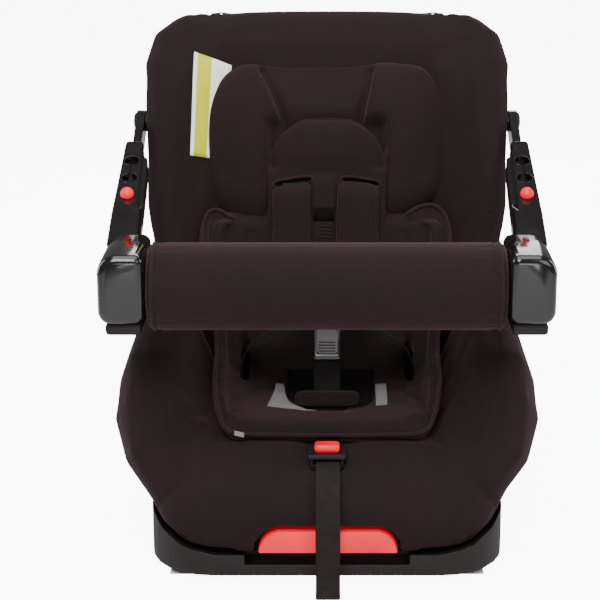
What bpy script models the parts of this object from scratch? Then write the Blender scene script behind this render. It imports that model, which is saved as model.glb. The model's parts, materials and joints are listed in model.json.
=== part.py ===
"""A convertible child car seat with a swing-up guard bar, a reclining base and an infant insert.

Frame: metres, +Z up, the seat faces -Y. The origin is on the floor, under the middle of the base.
The seat shell turns on the base about a line across the seat, RECLINE_Y and RECLINE_Z, so every
surface between seat and base is a surface of revolution about that line.
"""

import math

import bmesh
import bpy
from mathutils import Matrix, Vector

# ---- driving dimensions -------------------------------------------------------------------------
GAP = 0.0005  # clearance between neighbouring solids
WALL = 0.0035  # shell wall

# Recline: centre of the arc, and radii of the surfaces that slide past each other.
RECLINE_Y = -0.10
RECLINE_Z = 0.50
DECK_R = 0.463  # top of the base deck, between the side walls
SIDE_R = 0.4425  # top of the base side walls
SKIRT_R = 0.4375  # lower edge of the shell skirt
FRONT_R = 0.4875  # base lip below the front apron
ROD_R = 0.450  # path of the two guide rods
DECK_HALF = 0.150

# Base
BASE_HALF = 0.190
BASE_FRONT = -0.222
BASE_BACK = 0.205
BASE_TOP = 0.165
BASE_CORNER = 0.068
BASE_WALL = 0.004
SLOT_HALF = 0.0875
SLOT_FLOOR = 0.017
FOOT = 0.003

# Guard bar and its arms. The pivot and the bar centre fix the arm's line.
PIVOT = Vector((0.0, 0.130, 0.430))
BAR = Vector((0.0, -0.130, 0.298))
BAR_HALF = 0.1905
BAR_RADIUS = 0.047
TUBE_RADIUS = 0.0125
CAP_INNER = 0.1912
CAP_OUTER = 0.2395
CAP_TOP, CAP_BOTTOM = 0.344, 0.269
CAP_BACK = -0.078
CAP_FRONT = -0.182
LINK_X0, LINK_X1 = 0.2155, 0.2255
LINK_HALF = 0.013
LINK_END = 0.185
SLEEVE_HALF = 0.019
SLEEVE_START = 0.064
HOLE_STEP = 0.031
BUTTON_AT = 0.162
HOLE_RADIUS = 0.0085

# Harness
WEB = 0.0018  # webbing thickness
WEB_WIDE = 0.030
ADJUST_WIDE = 0.026

ARM_DIR = (BAR - PIVOT).normalized()
ARM_UP = Vector((0.0, ARM_DIR.z, -ARM_DIR.y))
CENTRE = Vector((0.0, RECLINE_Y, RECLINE_Z))


# ---- scene, materials and small helpers ---------------------------------------------------------
def fresh_collection(name):
    collection = bpy.data.collections.new(name)
    bpy.context.scene.collection.children.link(collection)
    return collection


for old in list(bpy.data.objects):
    bpy.data.objects.remove(old)
PARTS = fresh_collection("child_car_seat")
CUTTERS = fresh_collection("cutters")


def make_material(name, colour, roughness, metallic=0.0):
    material = bpy.data.materials.new(name)
    material.use_nodes = True
    shader = material.node_tree.nodes["Principled BSDF"]
    shader.inputs["Base Color"].default_value = (*colour, 1.0)
    shader.inputs["Roughness"].default_value = roughness
    shader.inputs["Metallic"].default_value = metallic
    return material


MATERIALS = {
    "fabric": make_material("fabric", (0.022, 0.018, 0.019), 0.9),
    "insert_fabric": make_material("insert_fabric", (0.026, 0.021, 0.022), 0.88),
    "webbing": make_material("webbing", (0.045, 0.040, 0.042), 0.75),
    "shell_plastic": make_material("shell_plastic", (0.030, 0.028, 0.029), 0.5),
    "gloss_plastic": make_material("gloss_plastic", (0.020, 0.019, 0.020), 0.15),
    "red_plastic": make_material("red_plastic", (0.75, 0.05, 0.05), 0.35),
    "steel": make_material("steel", (0.55, 0.55, 0.56), 0.3, 1.0),
    "rubber": make_material("rubber", (0.02, 0.02, 0.02), 0.9),
}


def place(name, bm, material=None, cutter=False):
    """Turns a bmesh into a named object, with its faces pointing out."""
    bmesh.ops.recalc_face_normals(bm, faces=bm.faces)
    mesh = bpy.data.meshes.new(name)
    bm.to_mesh(mesh)
    bm.free()
    obj = bpy.data.objects.new(name, mesh)
    if cutter:
        CUTTERS.objects.link(obj)
        obj.hide_render = True
        obj.display_type = "WIRE"
    else:
        PARTS.objects.link(obj)
        mesh.materials.append(MATERIALS[material])
        mesh.shade_smooth()
        mesh.set_sharp_from_angle(angle=math.radians(35))
    return obj


def boolean(obj, other, operation="DIFFERENCE"):
    modifier = obj.modifiers.new(operation.lower(), "BOOLEAN")
    modifier.operation = operation
    modifier.object = other
    return obj


def bevel(obj, width, segments=2, angle=40):
    modifier = obj.modifiers.new("rounded edges", "BEVEL")
    modifier.width = width
    modifier.segments = segments
    modifier.limit_method = "ANGLE"
    modifier.angle_limit = math.radians(angle)
    return obj


def box(name, low, high, material=None, cutter=False):
    bm = bmesh.new()
    bmesh.ops.create_cube(bm, size=1.0)
    low, high = Vector(low), Vector(high)
    size, middle = high - low, (high + low) / 2
    bmesh.ops.scale(bm, vec=size, verts=bm.verts)
    bmesh.ops.translate(bm, vec=middle, verts=bm.verts)
    return place(name, bm, material, cutter)


def rod(name, start, end, radius, segments=24, material=None, cutter=False, radius_end=None):
    """A cylinder or cone from start to end."""
    start, end = Vector(start), Vector(end)
    bm = bmesh.new()
    bmesh.ops.create_cone(
        bm,
        cap_ends=True,
        segments=segments,
        radius1=radius,
        radius2=radius if radius_end is None else radius_end,
        depth=(end - start).length,
    )
    turn = (end - start).to_track_quat("Z", "Y").to_matrix().to_4x4()
    bmesh.ops.transform(bm, matrix=Matrix.Translation((start + end) / 2) @ turn, verts=bm.verts)
    return place(name, bm, material, cutter)


def prism(name, outline, depth, frame, material=None, cutter=False):
    """A flat outline in the frame's XY plane, extruded along its Z by depth."""
    bm = bmesh.new()
    face = bm.faces.new([bm.verts.new((a, b, 0.0)) for a, b in outline])
    grown = bmesh.ops.extrude_face_region(bm, geom=[face])["geom"]
    tops = [v for v in grown if isinstance(v, bmesh.types.BMVert)]
    bmesh.ops.translate(bm, vec=(0.0, 0.0, depth), verts=tops)
    bmesh.ops.transform(bm, matrix=frame, verts=bm.verts)
    return place(name, bm, material, cutter)


def frame_from(origin, x_axis, y_axis):
    """A matrix whose X and Y axes lie along x_axis and y_axis, at origin."""
    x = Vector(x_axis).normalized()
    z = x.cross(Vector(y_axis)).normalized()
    y = z.cross(x)
    matrix = Matrix((x, y, z)).transposed().to_4x4()
    return Matrix.Translation(Vector(origin)) @ matrix


def turned(name, profile, origin, axis, steps=32, material=None, cutter=False):
    """A profile of (radius, height) points, listed from the top down, turned about axis."""
    bm = bmesh.new()
    points = [bm.verts.new((r, 0.0, h)) for r, h in profile]
    for a, b in zip(points, points[1:]):
        bm.edges.new((a, b))
    obj = place(name, bm, material, cutter)
    screw = obj.modifiers.new("turned", "SCREW")
    screw.steps = steps
    screw.render_steps = steps
    screw.use_merge_vertices = True
    screw.merge_threshold = 0.00001
    turn = Vector(axis).to_track_quat("Z", "Y").to_matrix().to_4x4()
    obj.matrix_world = Matrix.Translation(Vector(origin)) @ turn
    return obj


def arc(centre, radius, start, end, count):
    """Points on an arc, with angles in degrees from the first axis towards the second."""
    angles = [math.radians(start + (end - start) * i / (count - 1)) for i in range(count)]
    return [(centre[0] + radius * math.cos(a), centre[1] + radius * math.sin(a)) for a in angles]


def rounded_rect(x0, y0, x1, y1, radii, count=6):
    """Corner radii run anticlockwise from (x1, y1)."""
    a, b, c, d = radii
    return (
        arc((x1 - a, y1 - a), a, 0, 90, count)
        + arc((x0 + b, y1 - b), b, 90, 180, count)
        + arc((x0 + c, y0 + c), c, 180, 270, count)
        + arc((x1 - d, y0 + d), d, 270, 360, count)
    )


def mix(a, b, t):
    return a + (b - a) * t


def arc_height(y, radius):
    """Height of the recline arc of this radius at y."""
    return RECLINE_Z - math.sqrt(radius * radius - (y - RECLINE_Y) ** 2)


def arc_point(radius, degrees, x=0.0):
    """A point on a recline arc; degrees run from straight down towards the back."""
    a = math.radians(degrees)
    return Vector((x, RECLINE_Y + radius * math.sin(a), RECLINE_Z - radius * math.cos(a)))


# ---- sheets: a grid of points, thickened into a closed slab --------------------------------------
def sheet_normals(grid):
    """One unit normal per grid point, on the side that the fabric lies on."""
    rows, columns = len(grid), len(grid[0])
    normals = []
    for k in range(rows):
        line = []
        for j in range(columns):
            along = grid[min(k + 1, rows - 1)][j] - grid[max(k - 1, 0)][j]
            across = grid[k][min(j + 1, columns - 1)] - grid[k][max(j - 1, 0)]
            line.append(across.cross(along).normalized())
        normals.append(line)
    return normals


def slab(name, grid, near, far, material, normals=None):
    """A closed solid between two offsets of the grid. near and far are functions of (k, j)."""
    normals = normals or sheet_normals(grid)
    rows, columns = len(grid), len(grid[0])
    bm = bmesh.new()
    layers = [
        [
            [bm.verts.new(grid[k][j] + normals[k][j] * offset(k, j)) for j in range(columns)]
            for k in range(rows)
        ]
        for offset in (near, far)
    ]
    low, high = layers
    for k in range(rows - 1):
        for j in range(columns - 1):
            for layer in layers:
                corners = (layer[k][j], layer[k][j + 1], layer[k + 1][j + 1], layer[k + 1][j])
                bm.faces.new(corners)
    edge = [(0, j) for j in range(columns)]
    edge += [(k, columns - 1) for k in range(1, rows)]
    edge += [(rows - 1, j) for j in range(columns - 2, -1, -1)]
    edge += [(k, 0) for k in range(rows - 2, 0, -1)]
    for (a, b), (c, d) in zip(edge, edge[1:] + edge[:1]):
        bm.faces.new((low[a][b], low[c][d], high[c][d], high[a][b]))
    bmesh.ops.triangulate(bm, faces=bm.faces, quad_method="FIXED")
    return place(name, bm, material)


# ---- the shell's sheet ---------------------------------------------------------------------------
# Half rows run from the outer lower edge (0) over the rim (4) to the middle of the floor (10).
HALF_ROWS = 11
BACK_ANGLE = math.radians(72)
BACK_START = Vector((0.0, 0.095, 0.154))
BACK_UP = Vector((0.0, math.cos(BACK_ANGLE), math.sin(BACK_ANGLE)))
BACK_OUT = Vector((0.0, -math.sin(BACK_ANGLE), math.cos(BACK_ANGLE)))


def mirrored(half):
    """A full row from left to right, from its right half listed edge to middle."""
    left = [Vector((-p.x, p.y, p.z)) for p in half]
    return left + [p.copy() for p in reversed(half[:-1])]


def front_station(corner, front):
    """A row across the front apron, from the corner round to the middle of the front."""
    half = []
    for j in range(HALF_ROWS):
        a = math.radians(90.0 * j / (HALF_ROWS - 1))
        side, ahead = max(math.cos(a), 0.0) ** 0.7, math.sin(a) ** 0.7
        half.append(
            Vector(
                (
                    corner[0] * side,
                    mix(corner[1], front[0], ahead),
                    mix(corner[2], front[1], ahead),
                )
            )
        )
    return mirrored(half)


def bucket_station(floor, rim, floor_half, rim_half, rim_wide, bulge_half, low, low_half):
    """A row across the bucket: floor and rim are (y, z) on the centre plane and at the rim."""
    floor_point, rim_point = Vector((0.0, *floor)), Vector((0.0, *rim))
    depth = (rim_point - floor_point).length
    up = (rim_point - floor_point) / depth
    inner_half = rim_half - rim_wide
    low_point = Vector((0.0, *low))
    shoulder = min(0.006, depth * 0.25)
    corner = min(0.022, depth * 0.3)

    def at(x, height):
        return floor_point + up * height + Vector((x, 0.0, 0.0))

    def outside(x, t):
        return rim_point.lerp(low_point, t) + Vector((x, 0.0, 0.0))

    half = [
        outside(low_half, 1.0),
        outside(mix(bulge_half, low_half, 0.45), 0.65),
        outside(bulge_half, 0.28),
        at(rim_half, depth - shoulder),
        at(rim_half - rim_wide / 2, depth),
        at(inner_half, depth - shoulder),
        at(mix(floor_half, inner_half, 0.55), depth * 0.55),
        at(floor_half + corner * 0.2, corner),
        at(floor_half - corner, corner * 0.08),
        at(floor_half * 0.45, 0.0),
        at(0.0, 0.0),
    ]
    return mirrored(half)


def back_floor(length):
    return (
        BACK_START.y + length * math.cos(BACK_ANGLE),
        BACK_START.z + length * math.sin(BACK_ANGLE),
    )


def on_back(x, length, lift):
    """The point this far up the backrest's floor, and lifted off it towards the child."""
    y, z = back_floor(length)
    return Vector((x, y, z)) + BACK_OUT * lift


def back_frame(length, lift=0.0, x=0.0):
    """A frame on the backrest: X across, Y up the back, Z towards the child."""
    return frame_from(on_back(x, length, lift), (1, 0, 0), BACK_UP)


def lip(floor, rim, depth=0.034):
    """Lower end of the rolled lip behind the rim of the backrest."""
    f, r = Vector(floor), Vector(rim)
    reach = min(depth, (r - f).length * 0.62)
    return tuple(r + (f - r).normalized() * reach)


def skirt(y, lift=0.0):
    return (y, arc_height(y, SKIRT_R) + lift)


def back_station(length, rim, floor_half, rim_half):
    floor = back_floor(length)
    return bucket_station(
        floor, rim, floor_half, rim_half, 0.014, rim_half, lip(floor, rim), rim_half - 0.004
    )


SHELL = [
    # the apron, from its lower edge up to the crest
    front_station((0.150, -0.201, 0.041), (-0.212, 0.030)),
    front_station((0.170, -0.180, 0.053), (-0.216, 0.066)),
    front_station((0.183, -0.150, 0.0635), (-0.205, 0.098)),
    # the seat: floor, rim, half widths, lower edge of the skirt
    bucket_station((-0.170, 0.097), (-0.166, 0.130), 0.140, 0.196, 0.020, 0.204, skirt(-0.118), 0.184),
    bucket_station((-0.125, 0.095), (-0.122, 0.172), 0.145, 0.206, 0.022, 0.218, skirt(-0.085), 0.184),
    bucket_station((-0.065, 0.091), (-0.070, 0.203), 0.148, 0.208, 0.022, 0.220, skirt(-0.040), 0.184),
    bucket_station((-0.005, 0.088), (-0.018, 0.218), 0.148, 0.206, 0.022, 0.214, skirt(0.012), 0.184),
    bucket_station((0.045, 0.097), (0.018, 0.238), 0.147, 0.201, 0.020, 0.206, skirt(0.055), 0.184),
    bucket_station((0.078, 0.122), (0.036, 0.262), 0.146, 0.197, 0.018, 0.200, (0.082, 0.132), 0.184),
    bucket_station((0.095, 0.158), (0.045, 0.286), 0.146, 0.194, 0.016, 0.196, (0.092, 0.188), 0.184),
    # the backrest
    back_station(0.085, (0.054, 0.313), 0.145, 0.194),
    back_station(0.150, (0.068, 0.352), 0.145, 0.199),
    back_station(0.220, (0.090, 0.404), 0.145, 0.2055),
    back_station(0.285, (0.113, 0.456), 0.145, 0.2085),
    back_station(0.335, (0.136, 0.496), 0.143, 0.2088),
    back_station(0.370, (0.166, 0.522), 0.136, 0.197),
    back_station(0.393, (0.197, 0.5345), 0.118, 0.170),
    # the rolled top edge
    bucket_station((0.2225, 0.5385), (0.216, 0.5410), 0.100, 0.135, 0.010, 0.135, (0.219, 0.5395), 0.137),
    bucket_station((0.2340, 0.5375), (0.236, 0.5405), 0.098, 0.132, 0.010, 0.132, (0.235, 0.5385), 0.134),
    bucket_station((0.2420, 0.5270), (0.2455, 0.5285), 0.098, 0.132, 0.010, 0.132, (0.244, 0.5275), 0.134),
]
BIGHT = 8  # the row where the seat cover ends and the backrest cover starts
COVER_SPLIT = 0.17  # share of the row pitch left open between the two covers


def between(first, second, t):
    return [a.lerp(b, t) for a, b in zip(first, second)]


def row_from_edge(j):
    """0 at either outer edge, 10 in the middle."""
    return min(j, 2 * (HALF_ROWS - 1) - j)


def cover_thickness(profile):
    """Offsets by row, from the outer edge to the middle of the floor."""
    return lambda k, j: profile[row_from_edge(j)]


# ---- base ----------------------------------------------------------------------------------------
def across(name, radius, half, material=None, cutter=True, segments=96):
    """A cylinder on the recline axis."""
    start, end = CENTRE - Vector((half, 0, 0)), CENTRE + Vector((half, 0, 0))
    return rod(name, start, end, radius, segments, material, cutter)


def apron_cutter(name, extra):
    """The space that the apron sweeps: its radius falls from the middle to the corners."""
    front, side = FRONT_R + extra, SIDE_R + extra
    half = [(0.0, 0.30), (side, 0.30), (side, 0.1895), (0.447 + extra, 0.1865), (0.462 + extra, 0.176)]
    half += [(0.4775 + extra, 0.156), (0.482 + extra, 0.144), (front, 0.118)]
    lower = [(r, -h) for r, h in reversed(half)]
    obj = turned(name, half + lower, CENTRE, (1, 0, 0), 96, cutter=True)
    wide, middle, ends = 0.149 - extra, -0.187 + extra, -0.135 + extra
    zone = [(-0.4, -0.4), (0.4, -0.4), (0.4, ends), (wide, ends), (wide, middle)]
    zone += [(-wide, middle), (-wide, ends), (-0.4, ends)]
    zone = prism(name + "_zone", zone, 0.5, Matrix.Translation((0, 0, -0.1)), cutter=True)
    return boolean(obj, zone, "INTERSECT")


def base_block(name, inset, bottom, cutter, material=None):
    corner = BASE_CORNER - inset
    outline = rounded_rect(
        -BASE_HALF + inset,
        BASE_FRONT + inset,
        BASE_HALF - inset,
        BASE_BACK - inset,
        (0.045 - inset, 0.045 - inset, corner, corner),
        7,
    )
    frame = Matrix.Translation((0.0, 0.0, bottom))
    return prism(name, outline, BASE_TOP - inset - bottom, frame, material, cutter)


def build_base():
    inner = base_block("base_hollow", BASE_WALL, -0.01, True)
    boolean(inner, across("deck_underside", DECK_R + BASE_WALL, DECK_HALF + BASE_WALL))
    boolean(inner, across("side_underside", SIDE_R + BASE_WALL, 0.4))
    boolean(inner, apron_cutter("lip_underside", BASE_WALL))
    for i, y in enumerate((-0.13, -0.02, 0.09)):
        boolean(inner, box(f"cross_rib_{i}", (-0.3, y, -0.1), (0.3, y + 0.003, 0.3), cutter=True))
    for i, x in enumerate((-0.1385, 0.1355)):
        boolean(inner, box(f"long_rib_{i}", (x, -0.3, -0.1), (x + 0.003, 0.3, 0.3), cutter=True))
    slot_low, slot_high = (-SLOT_HALF, -0.3, SLOT_FLOOR), (SLOT_HALF, -0.196, 0.06)
    outer = base_block("base_shell", 0.0, FOOT, False, "shell_plastic")
    bevel(outer, 0.006, 3, 60)
    boolean(outer, across("deck_top", DECK_R, DECK_HALF))
    boolean(outer, across("side_top", SIDE_R, 0.4))
    boolean(outer, apron_cutter("lip_top", 0.0))
    boolean(outer, inner)
    boolean(outer, box("lever_slot", slot_low, slot_high, cutter=True))
    feet = {
        f"{end}_{side}": (x, y, 0.014)
        for side, x in (("left", -0.150), ("right", 0.150))
        for end, y in (("front", -0.150), ("rear", 0.165))
    }
    feet["centre"] = (0.0, 0.0, 0.0455)
    for name, (x, y, top) in feet.items():
        rod(f"foot_pad_{name}", (x, y, 0.0), (x, y, FOOT - GAP), 0.016, 20, "rubber")
        seat = rod(f"foot_seat_{name}", (x, y, FOOT), (x, y, top), 0.0135, 20, cutter=True)
        boolean(outer, seat, "UNION")


def band(inner, outer, start, end, count):
    """An outline in (y, z) between two recline arcs."""
    there = [arc_point(outer, start + (end - start) * i / (count - 1)) for i in range(count)]
    back = [arc_point(inner, end + (start - end) * i / (count - 1)) for i in range(count)]
    return [(p.y, p.z) for p in there + back]


YZ = frame_from((0, 0, 0), (0, 1, 0), (0, 0, 1))


def at_x(x):
    return Matrix.Translation((x, 0.0, 0.0)) @ YZ


ROD_ANGLES = (7.0, 24.0)  # where the guide rods sit at rest
RECLINE_DEG = 12.0


def build_rails():
    """Two rails with a curved slot each, and the notched rack between them."""
    for side, x in (("left", -0.1375), ("right", 0.1335)):
        rail = prism(
            f"recline_rail_{side}", band(0.437, DECK_R - GAP, -10.3, 27, 15), 0.004, at_x(x), "steel"
        )
        for i, angle in enumerate(ROD_ANGLES):
            outline = band(ROD_R - 0.005, ROD_R + 0.005, angle - RECLINE_DEG - 1.2, angle + 1.2, 9)
            slot = prism(f"rail_slot_{side}_{i}", outline, 0.02, at_x(x - 0.008), cutter=True)
            boolean(rail, slot)
    rack = prism("recline_rack", band(0.4557, DECK_R - GAP, -10.5, 3.6, 9), 0.024, at_x(-0.012), "steel")
    for i in range(4):
        centre = arc_point(0.4547, 1.5 - i * 4.0)
        start, end = centre - Vector((0.02, 0, 0)), centre + Vector((0.02, 0, 0))
        boolean(rack, rod(f"notch_{i}", start, end, 0.0042, 12, cutter=True))
    for name, angle in zip(("guide_rod_front", "guide_rod_rear"), ROD_ANGLES):
        start, end = arc_point(ROD_R, angle, -0.1400), arc_point(ROD_R, angle, 0.1400)
        bevel(rod(name, start, end, 0.0045, 20, "steel"), 0.0008, 1)


# ---- shell ---------------------------------------------------------------------------------------
SLOT_SPOTS = ((0.199, "low"), (0.246, "high"))
SHOULDER_X = 0.038
HIP = Vector((0.100, 0.020, 0.100))
ADJUST = Vector((0.0, -0.190, 0.0))


def harness_slot(name, length, sign, half_wide, half_high):
    """A cutter for the opening that a shoulder strap passes through."""
    x = sign * SHOULDER_X
    outline = rounded_rect(x - half_wide, -half_high, x + half_wide, half_high, (0.004,) * 4, 3)
    return prism(name, outline, 0.14, back_frame(length, -0.07), cutter=True)


def build_shell():
    shell = slab("seat_shell", SHELL, lambda k, j: 0.0, lambda k, j: -WALL, "shell_plastic")
    # hangers below the pan carry the guide rods
    for side, x in (("left", -0.1245), ("right", 0.1205)):
        outline = [(-0.075, 0.0911), (-0.065, 0.0904), (-0.005, 0.0874), (0.045, 0.0964)]
        outline += [(0.0775, 0.1205)]
        outline += [(p.y, p.z) for p in (arc_point(0.4575, 26.5 - i * 5.5) for i in range(5))]
        hanger = prism(f"hanger_{side}", outline, 0.004, at_x(x), cutter=True)
        for i, angle in enumerate(ROD_ANGLES):
            start, end = arc_point(ROD_R, angle, x - 0.01), arc_point(ROD_R, angle, x + 0.014)
            boolean(hanger, rod(f"rod_hole_{side}_{i}", start, end, 0.0048, 20, cutter=True))
        boolean(shell, hanger, "UNION")
    # stiffening ribs behind the backrest, stopped short of the harness slots
    for i, x in enumerate((-0.088, 0.084)):
        corners = ((0.02, -0.001), (0.02, -0.016), (0.36, -0.013), (0.36, -0.001))
        points = [on_back(0.0, length, lift) for length, lift in corners]
        rib = prism(f"back_rib_{i}", [(p.y, p.z) for p in points], 0.004, at_x(x), cutter=True)
        boolean(shell, rib, "UNION")
    for i, length in enumerate((0.13, 0.30)):
        frame = frame_from(on_back(-0.088, length, 0.0), (1, 0, 0), -BACK_OUT)
        outline = [(0.0, 0.001), (0.176, 0.001), (0.176, 0.012), (0.0, 0.012)]
        rib = prism(f"cross_back_rib_{i}", outline, 0.004, frame, cutter=True)
        boolean(shell, rib, "UNION")
    # bosses that carry the arm pivots
    for sign in (-1, 1):
        start, end = PIVOT + Vector((sign * 0.1905, 0, 0)), PIVOT + Vector((sign * 0.2150, 0, 0))
        boolean(shell, rod(f"pivot_boss_{sign}", start, end, 0.0125, 24, cutter=True), "UNION")
        start, end = PIVOT + Vector((sign * 0.1925, 0, 0)), PIVOT + Vector((sign * 0.23, 0, 0))
        boolean(shell, rod(f"pivot_bore_{sign}", start, end, 0.0044, 20, cutter=True))
    for sign in (-1, 1):
        for length, label in SLOT_SPOTS:
            boolean(shell, harness_slot(f"harness_slot_{label}_{sign}", length, sign, 0.022, 0.006))
    cut_harness_openings(shell)
    return shell


def cut_harness_openings(shell):
    crotch = rounded_rect(-0.022, -0.076, 0.022, -0.062, (0.004,) * 4, 3)
    boolean(shell, prism("crotch_slot", crotch, 0.06, Matrix.Translation((0, 0, 0.07)), cutter=True))
    adjust = rounded_rect(-0.019, -0.192, 0.019, -0.166, (0.004,) * 4, 3)
    boolean(shell, prism("adjuster_opening", adjust, 0.08, Matrix.Translation((0, 0, 0.06)), cutter=True))
    for sign in (-1, 1):
        x = sign * HIP.x
        low, high = (x - 0.003, 0.004, 0.06), (x + 0.003, 0.044, 0.14)
        boolean(shell, box(f"hip_slot_{sign}", low, high, cutter=True))
    lever = ((-0.078, -0.24, 0.0), (0.078, -0.19, 0.0605))
    boolean(shell, box("lever_opening", *lever, cutter=True))


# ---- recline lever -------------------------------------------------------------------------------
LEVER_PULL = 0.010
LEVER_FRAME = frame_from((0.0, -0.2075, 0.0318), (1, 0, 0), (0, 0, 1))


def lever_outline(grow=0.0, foot=0.0):
    """The lever seen from the front, grown on all sides; foot lengthens it downwards."""
    outline = [(-0.073 - grow, -foot), (0.075 + grow, -foot)]
    outline += arc((0.049, 0.0), 0.0255 + grow, 15, 80, 5)
    return outline + arc((-0.047, 0.0), 0.0255 + grow, 100, 165, 5)


def build_lever():
    lever = prism("recline_lever", lever_outline(), 0.0185, LEVER_FRAME, "red_plastic")
    bevel(lever, 0.0025, 2)
    for sign in (-1, 1):
        x = sign * 0.045
        low = (x - 0.006, -0.209, 0.0500)
        high = (x + 0.006, -0.0917, 0.0555)
        boolean(lever, box(f"lever_leg_{sign}", low, high, cutter=True), "UNION")
    low, high = (-0.052, -0.0912, 0.0454), (0.052, -0.0852, 0.0552)
    bevel(box("latch_bar", low, high, "steel"), 0.001, 1)


# ---- covers and soft goods -----------------------------------------------------------------------
def build_covers():
    near = lambda k, j: 3.6 * GAP
    seat_rows = SHELL[: BIGHT + 1]
    seat = (0.0040, 0.0060, 0.0090, 0.0100, 0.0105, 0.0110, 0.0150, 0.0240, 0.0265, 0.0270, 0.0270)
    normals = sheet_normals(SHELL)
    cover = slab("seat_cover", seat_rows, near, seat_thickness(seat), "fabric", normals[: BIGHT + 1])
    lifted = Matrix.Translation((0, 0, 0.07))
    opening = rounded_rect(-0.0185, -0.199, 0.0185, -0.163, (0.004,) * 4, 3)
    boolean(cover, prism("cover_adjuster_opening", opening, 0.12, lifted, cutter=True))
    crotch = rounded_rect(-0.023, -0.077, 0.023, -0.061, (0.004,) * 4, 3)
    boolean(cover, prism("cover_crotch_slot", crotch, 0.12, lifted, cutter=True))
    for sign in (-1, 1):
        x = sign * HIP.x
        low, high = (x - 0.004, 0.002, 0.08), (x + 0.004, 0.046, 0.16)
        boolean(cover, box(f"cover_hip_slot_{sign}", low, high, cutter=True))
    ahead = LEVER_FRAME @ Matrix.Translation((0, 0, -0.0175))
    boolean(cover, prism("cover_lever_opening", lever_outline(0.004, 0.05), 0.07, ahead, cutter=True))

    back = (0.0035, 0.0045, 0.0055, 0.0060, 0.0065, 0.0080, 0.0130, 0.0200, 0.0235, 0.0240, 0.0240)
    back_rows = [between(SHELL[BIGHT], SHELL[BIGHT + 1], COVER_SPLIT)] + SHELL[BIGHT + 1 :]
    normals = [between(normals[BIGHT], normals[BIGHT + 1], COVER_SPLIT)] + normals[BIGHT + 1 :]
    thickness = back_thickness(back, len(back_rows))
    cover = slab("backrest_cover", back_rows, lambda k, j: 4 * GAP, thickness, "fabric", normals)
    for sign in (-1, 1):
        boolean(cover, harness_slot(f"cover_slot_{sign}", SLOT_SPOTS[0][0], sign, 0.023, 0.007))
        start, end = PIVOT + Vector((sign * 0.198, 0, 0)), PIVOT + Vector((sign * 0.24, 0, 0))
        boolean(cover, rod(f"cover_pivot_hole_{sign}", start, end, 0.0135, 24, cutter=True))


def seat_thickness(profile):
    """Full thickness on the seat, thinner on the apron rows 0 to 2."""
    apron = (0.0040, 0.0070, 0.0150)

    def offset(k, j):
        row = row_from_edge(j)
        return min(profile[row], mix(apron[k], profile[row], 0.15)) if k < 3 else profile[row]

    return offset


def back_thickness(profile, count):
    """Full thickness on the backrest, thin over the rolled top edge."""
    thin = {count - 4: 0.75, count - 3: 0.35, count - 2: 0.25, count - 1: 0.16}

    def offset(k, j):
        row = row_from_edge(j)
        return max(0.0035, profile[row] * thin.get(k, 1.0))

    return offset


def pad(name, outline, thickness, frame, material, edge=0.004, hollow=None):
    """A soft pad: an outline in the frame's XY plane, thick along Z, with drawn-in edges."""
    middle = Vector((sum(p[0] for p in outline), sum(p[1] for p in outline), 0.0)) / len(outline)
    levels = ((0.0, edge), (edge, 0.0), (thickness - edge * 1.4, 0.0), (thickness, edge * 1.6))
    bm = bmesh.new()
    rings = []
    for height, inset in levels:
        ring = []
        for a, b in outline:
            inward = Vector((middle.x - a, middle.y - b, 0.0))
            shift = inward.normalized() * min(inset, inward.length * 0.5)
            ring.append(bm.verts.new((a + shift.x, b + shift.y, height)))
        rings.append(ring)
    count = len(outline)
    for low, high in zip(rings, rings[1:]):
        for i in range(count):
            n = (i + 1) % count
            bm.faces.new((low[i], low[n], high[n], high[i]))
    bm.faces.new(rings[0][::-1])
    bm.faces.new(rings[-1])
    if hollow:
        for v in bm.verts:
            v.co.z += hollow(v.co.x, v.co.y)
    bmesh.ops.transform(bm, matrix=frame, verts=bm.verts)
    return place(name, bm, material)


def seat_row(floor, up, half, wing, lift):
    """A row of the infant insert: flat in the middle, with raised side wings."""
    f, u = Vector((0.0, *floor)), Vector((0.0, *up)).normalized()
    profile = ((half, lift), (half - 0.002, lift * 0.62), (half - wing * 0.35, lift * 0.30))
    profile += ((half - wing, 0.004), (half * 0.35, 0.0), (0.0, 0.0))
    return mirrored([f + u * height + Vector((x, 0, 0)) for x, height in profile])


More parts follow.
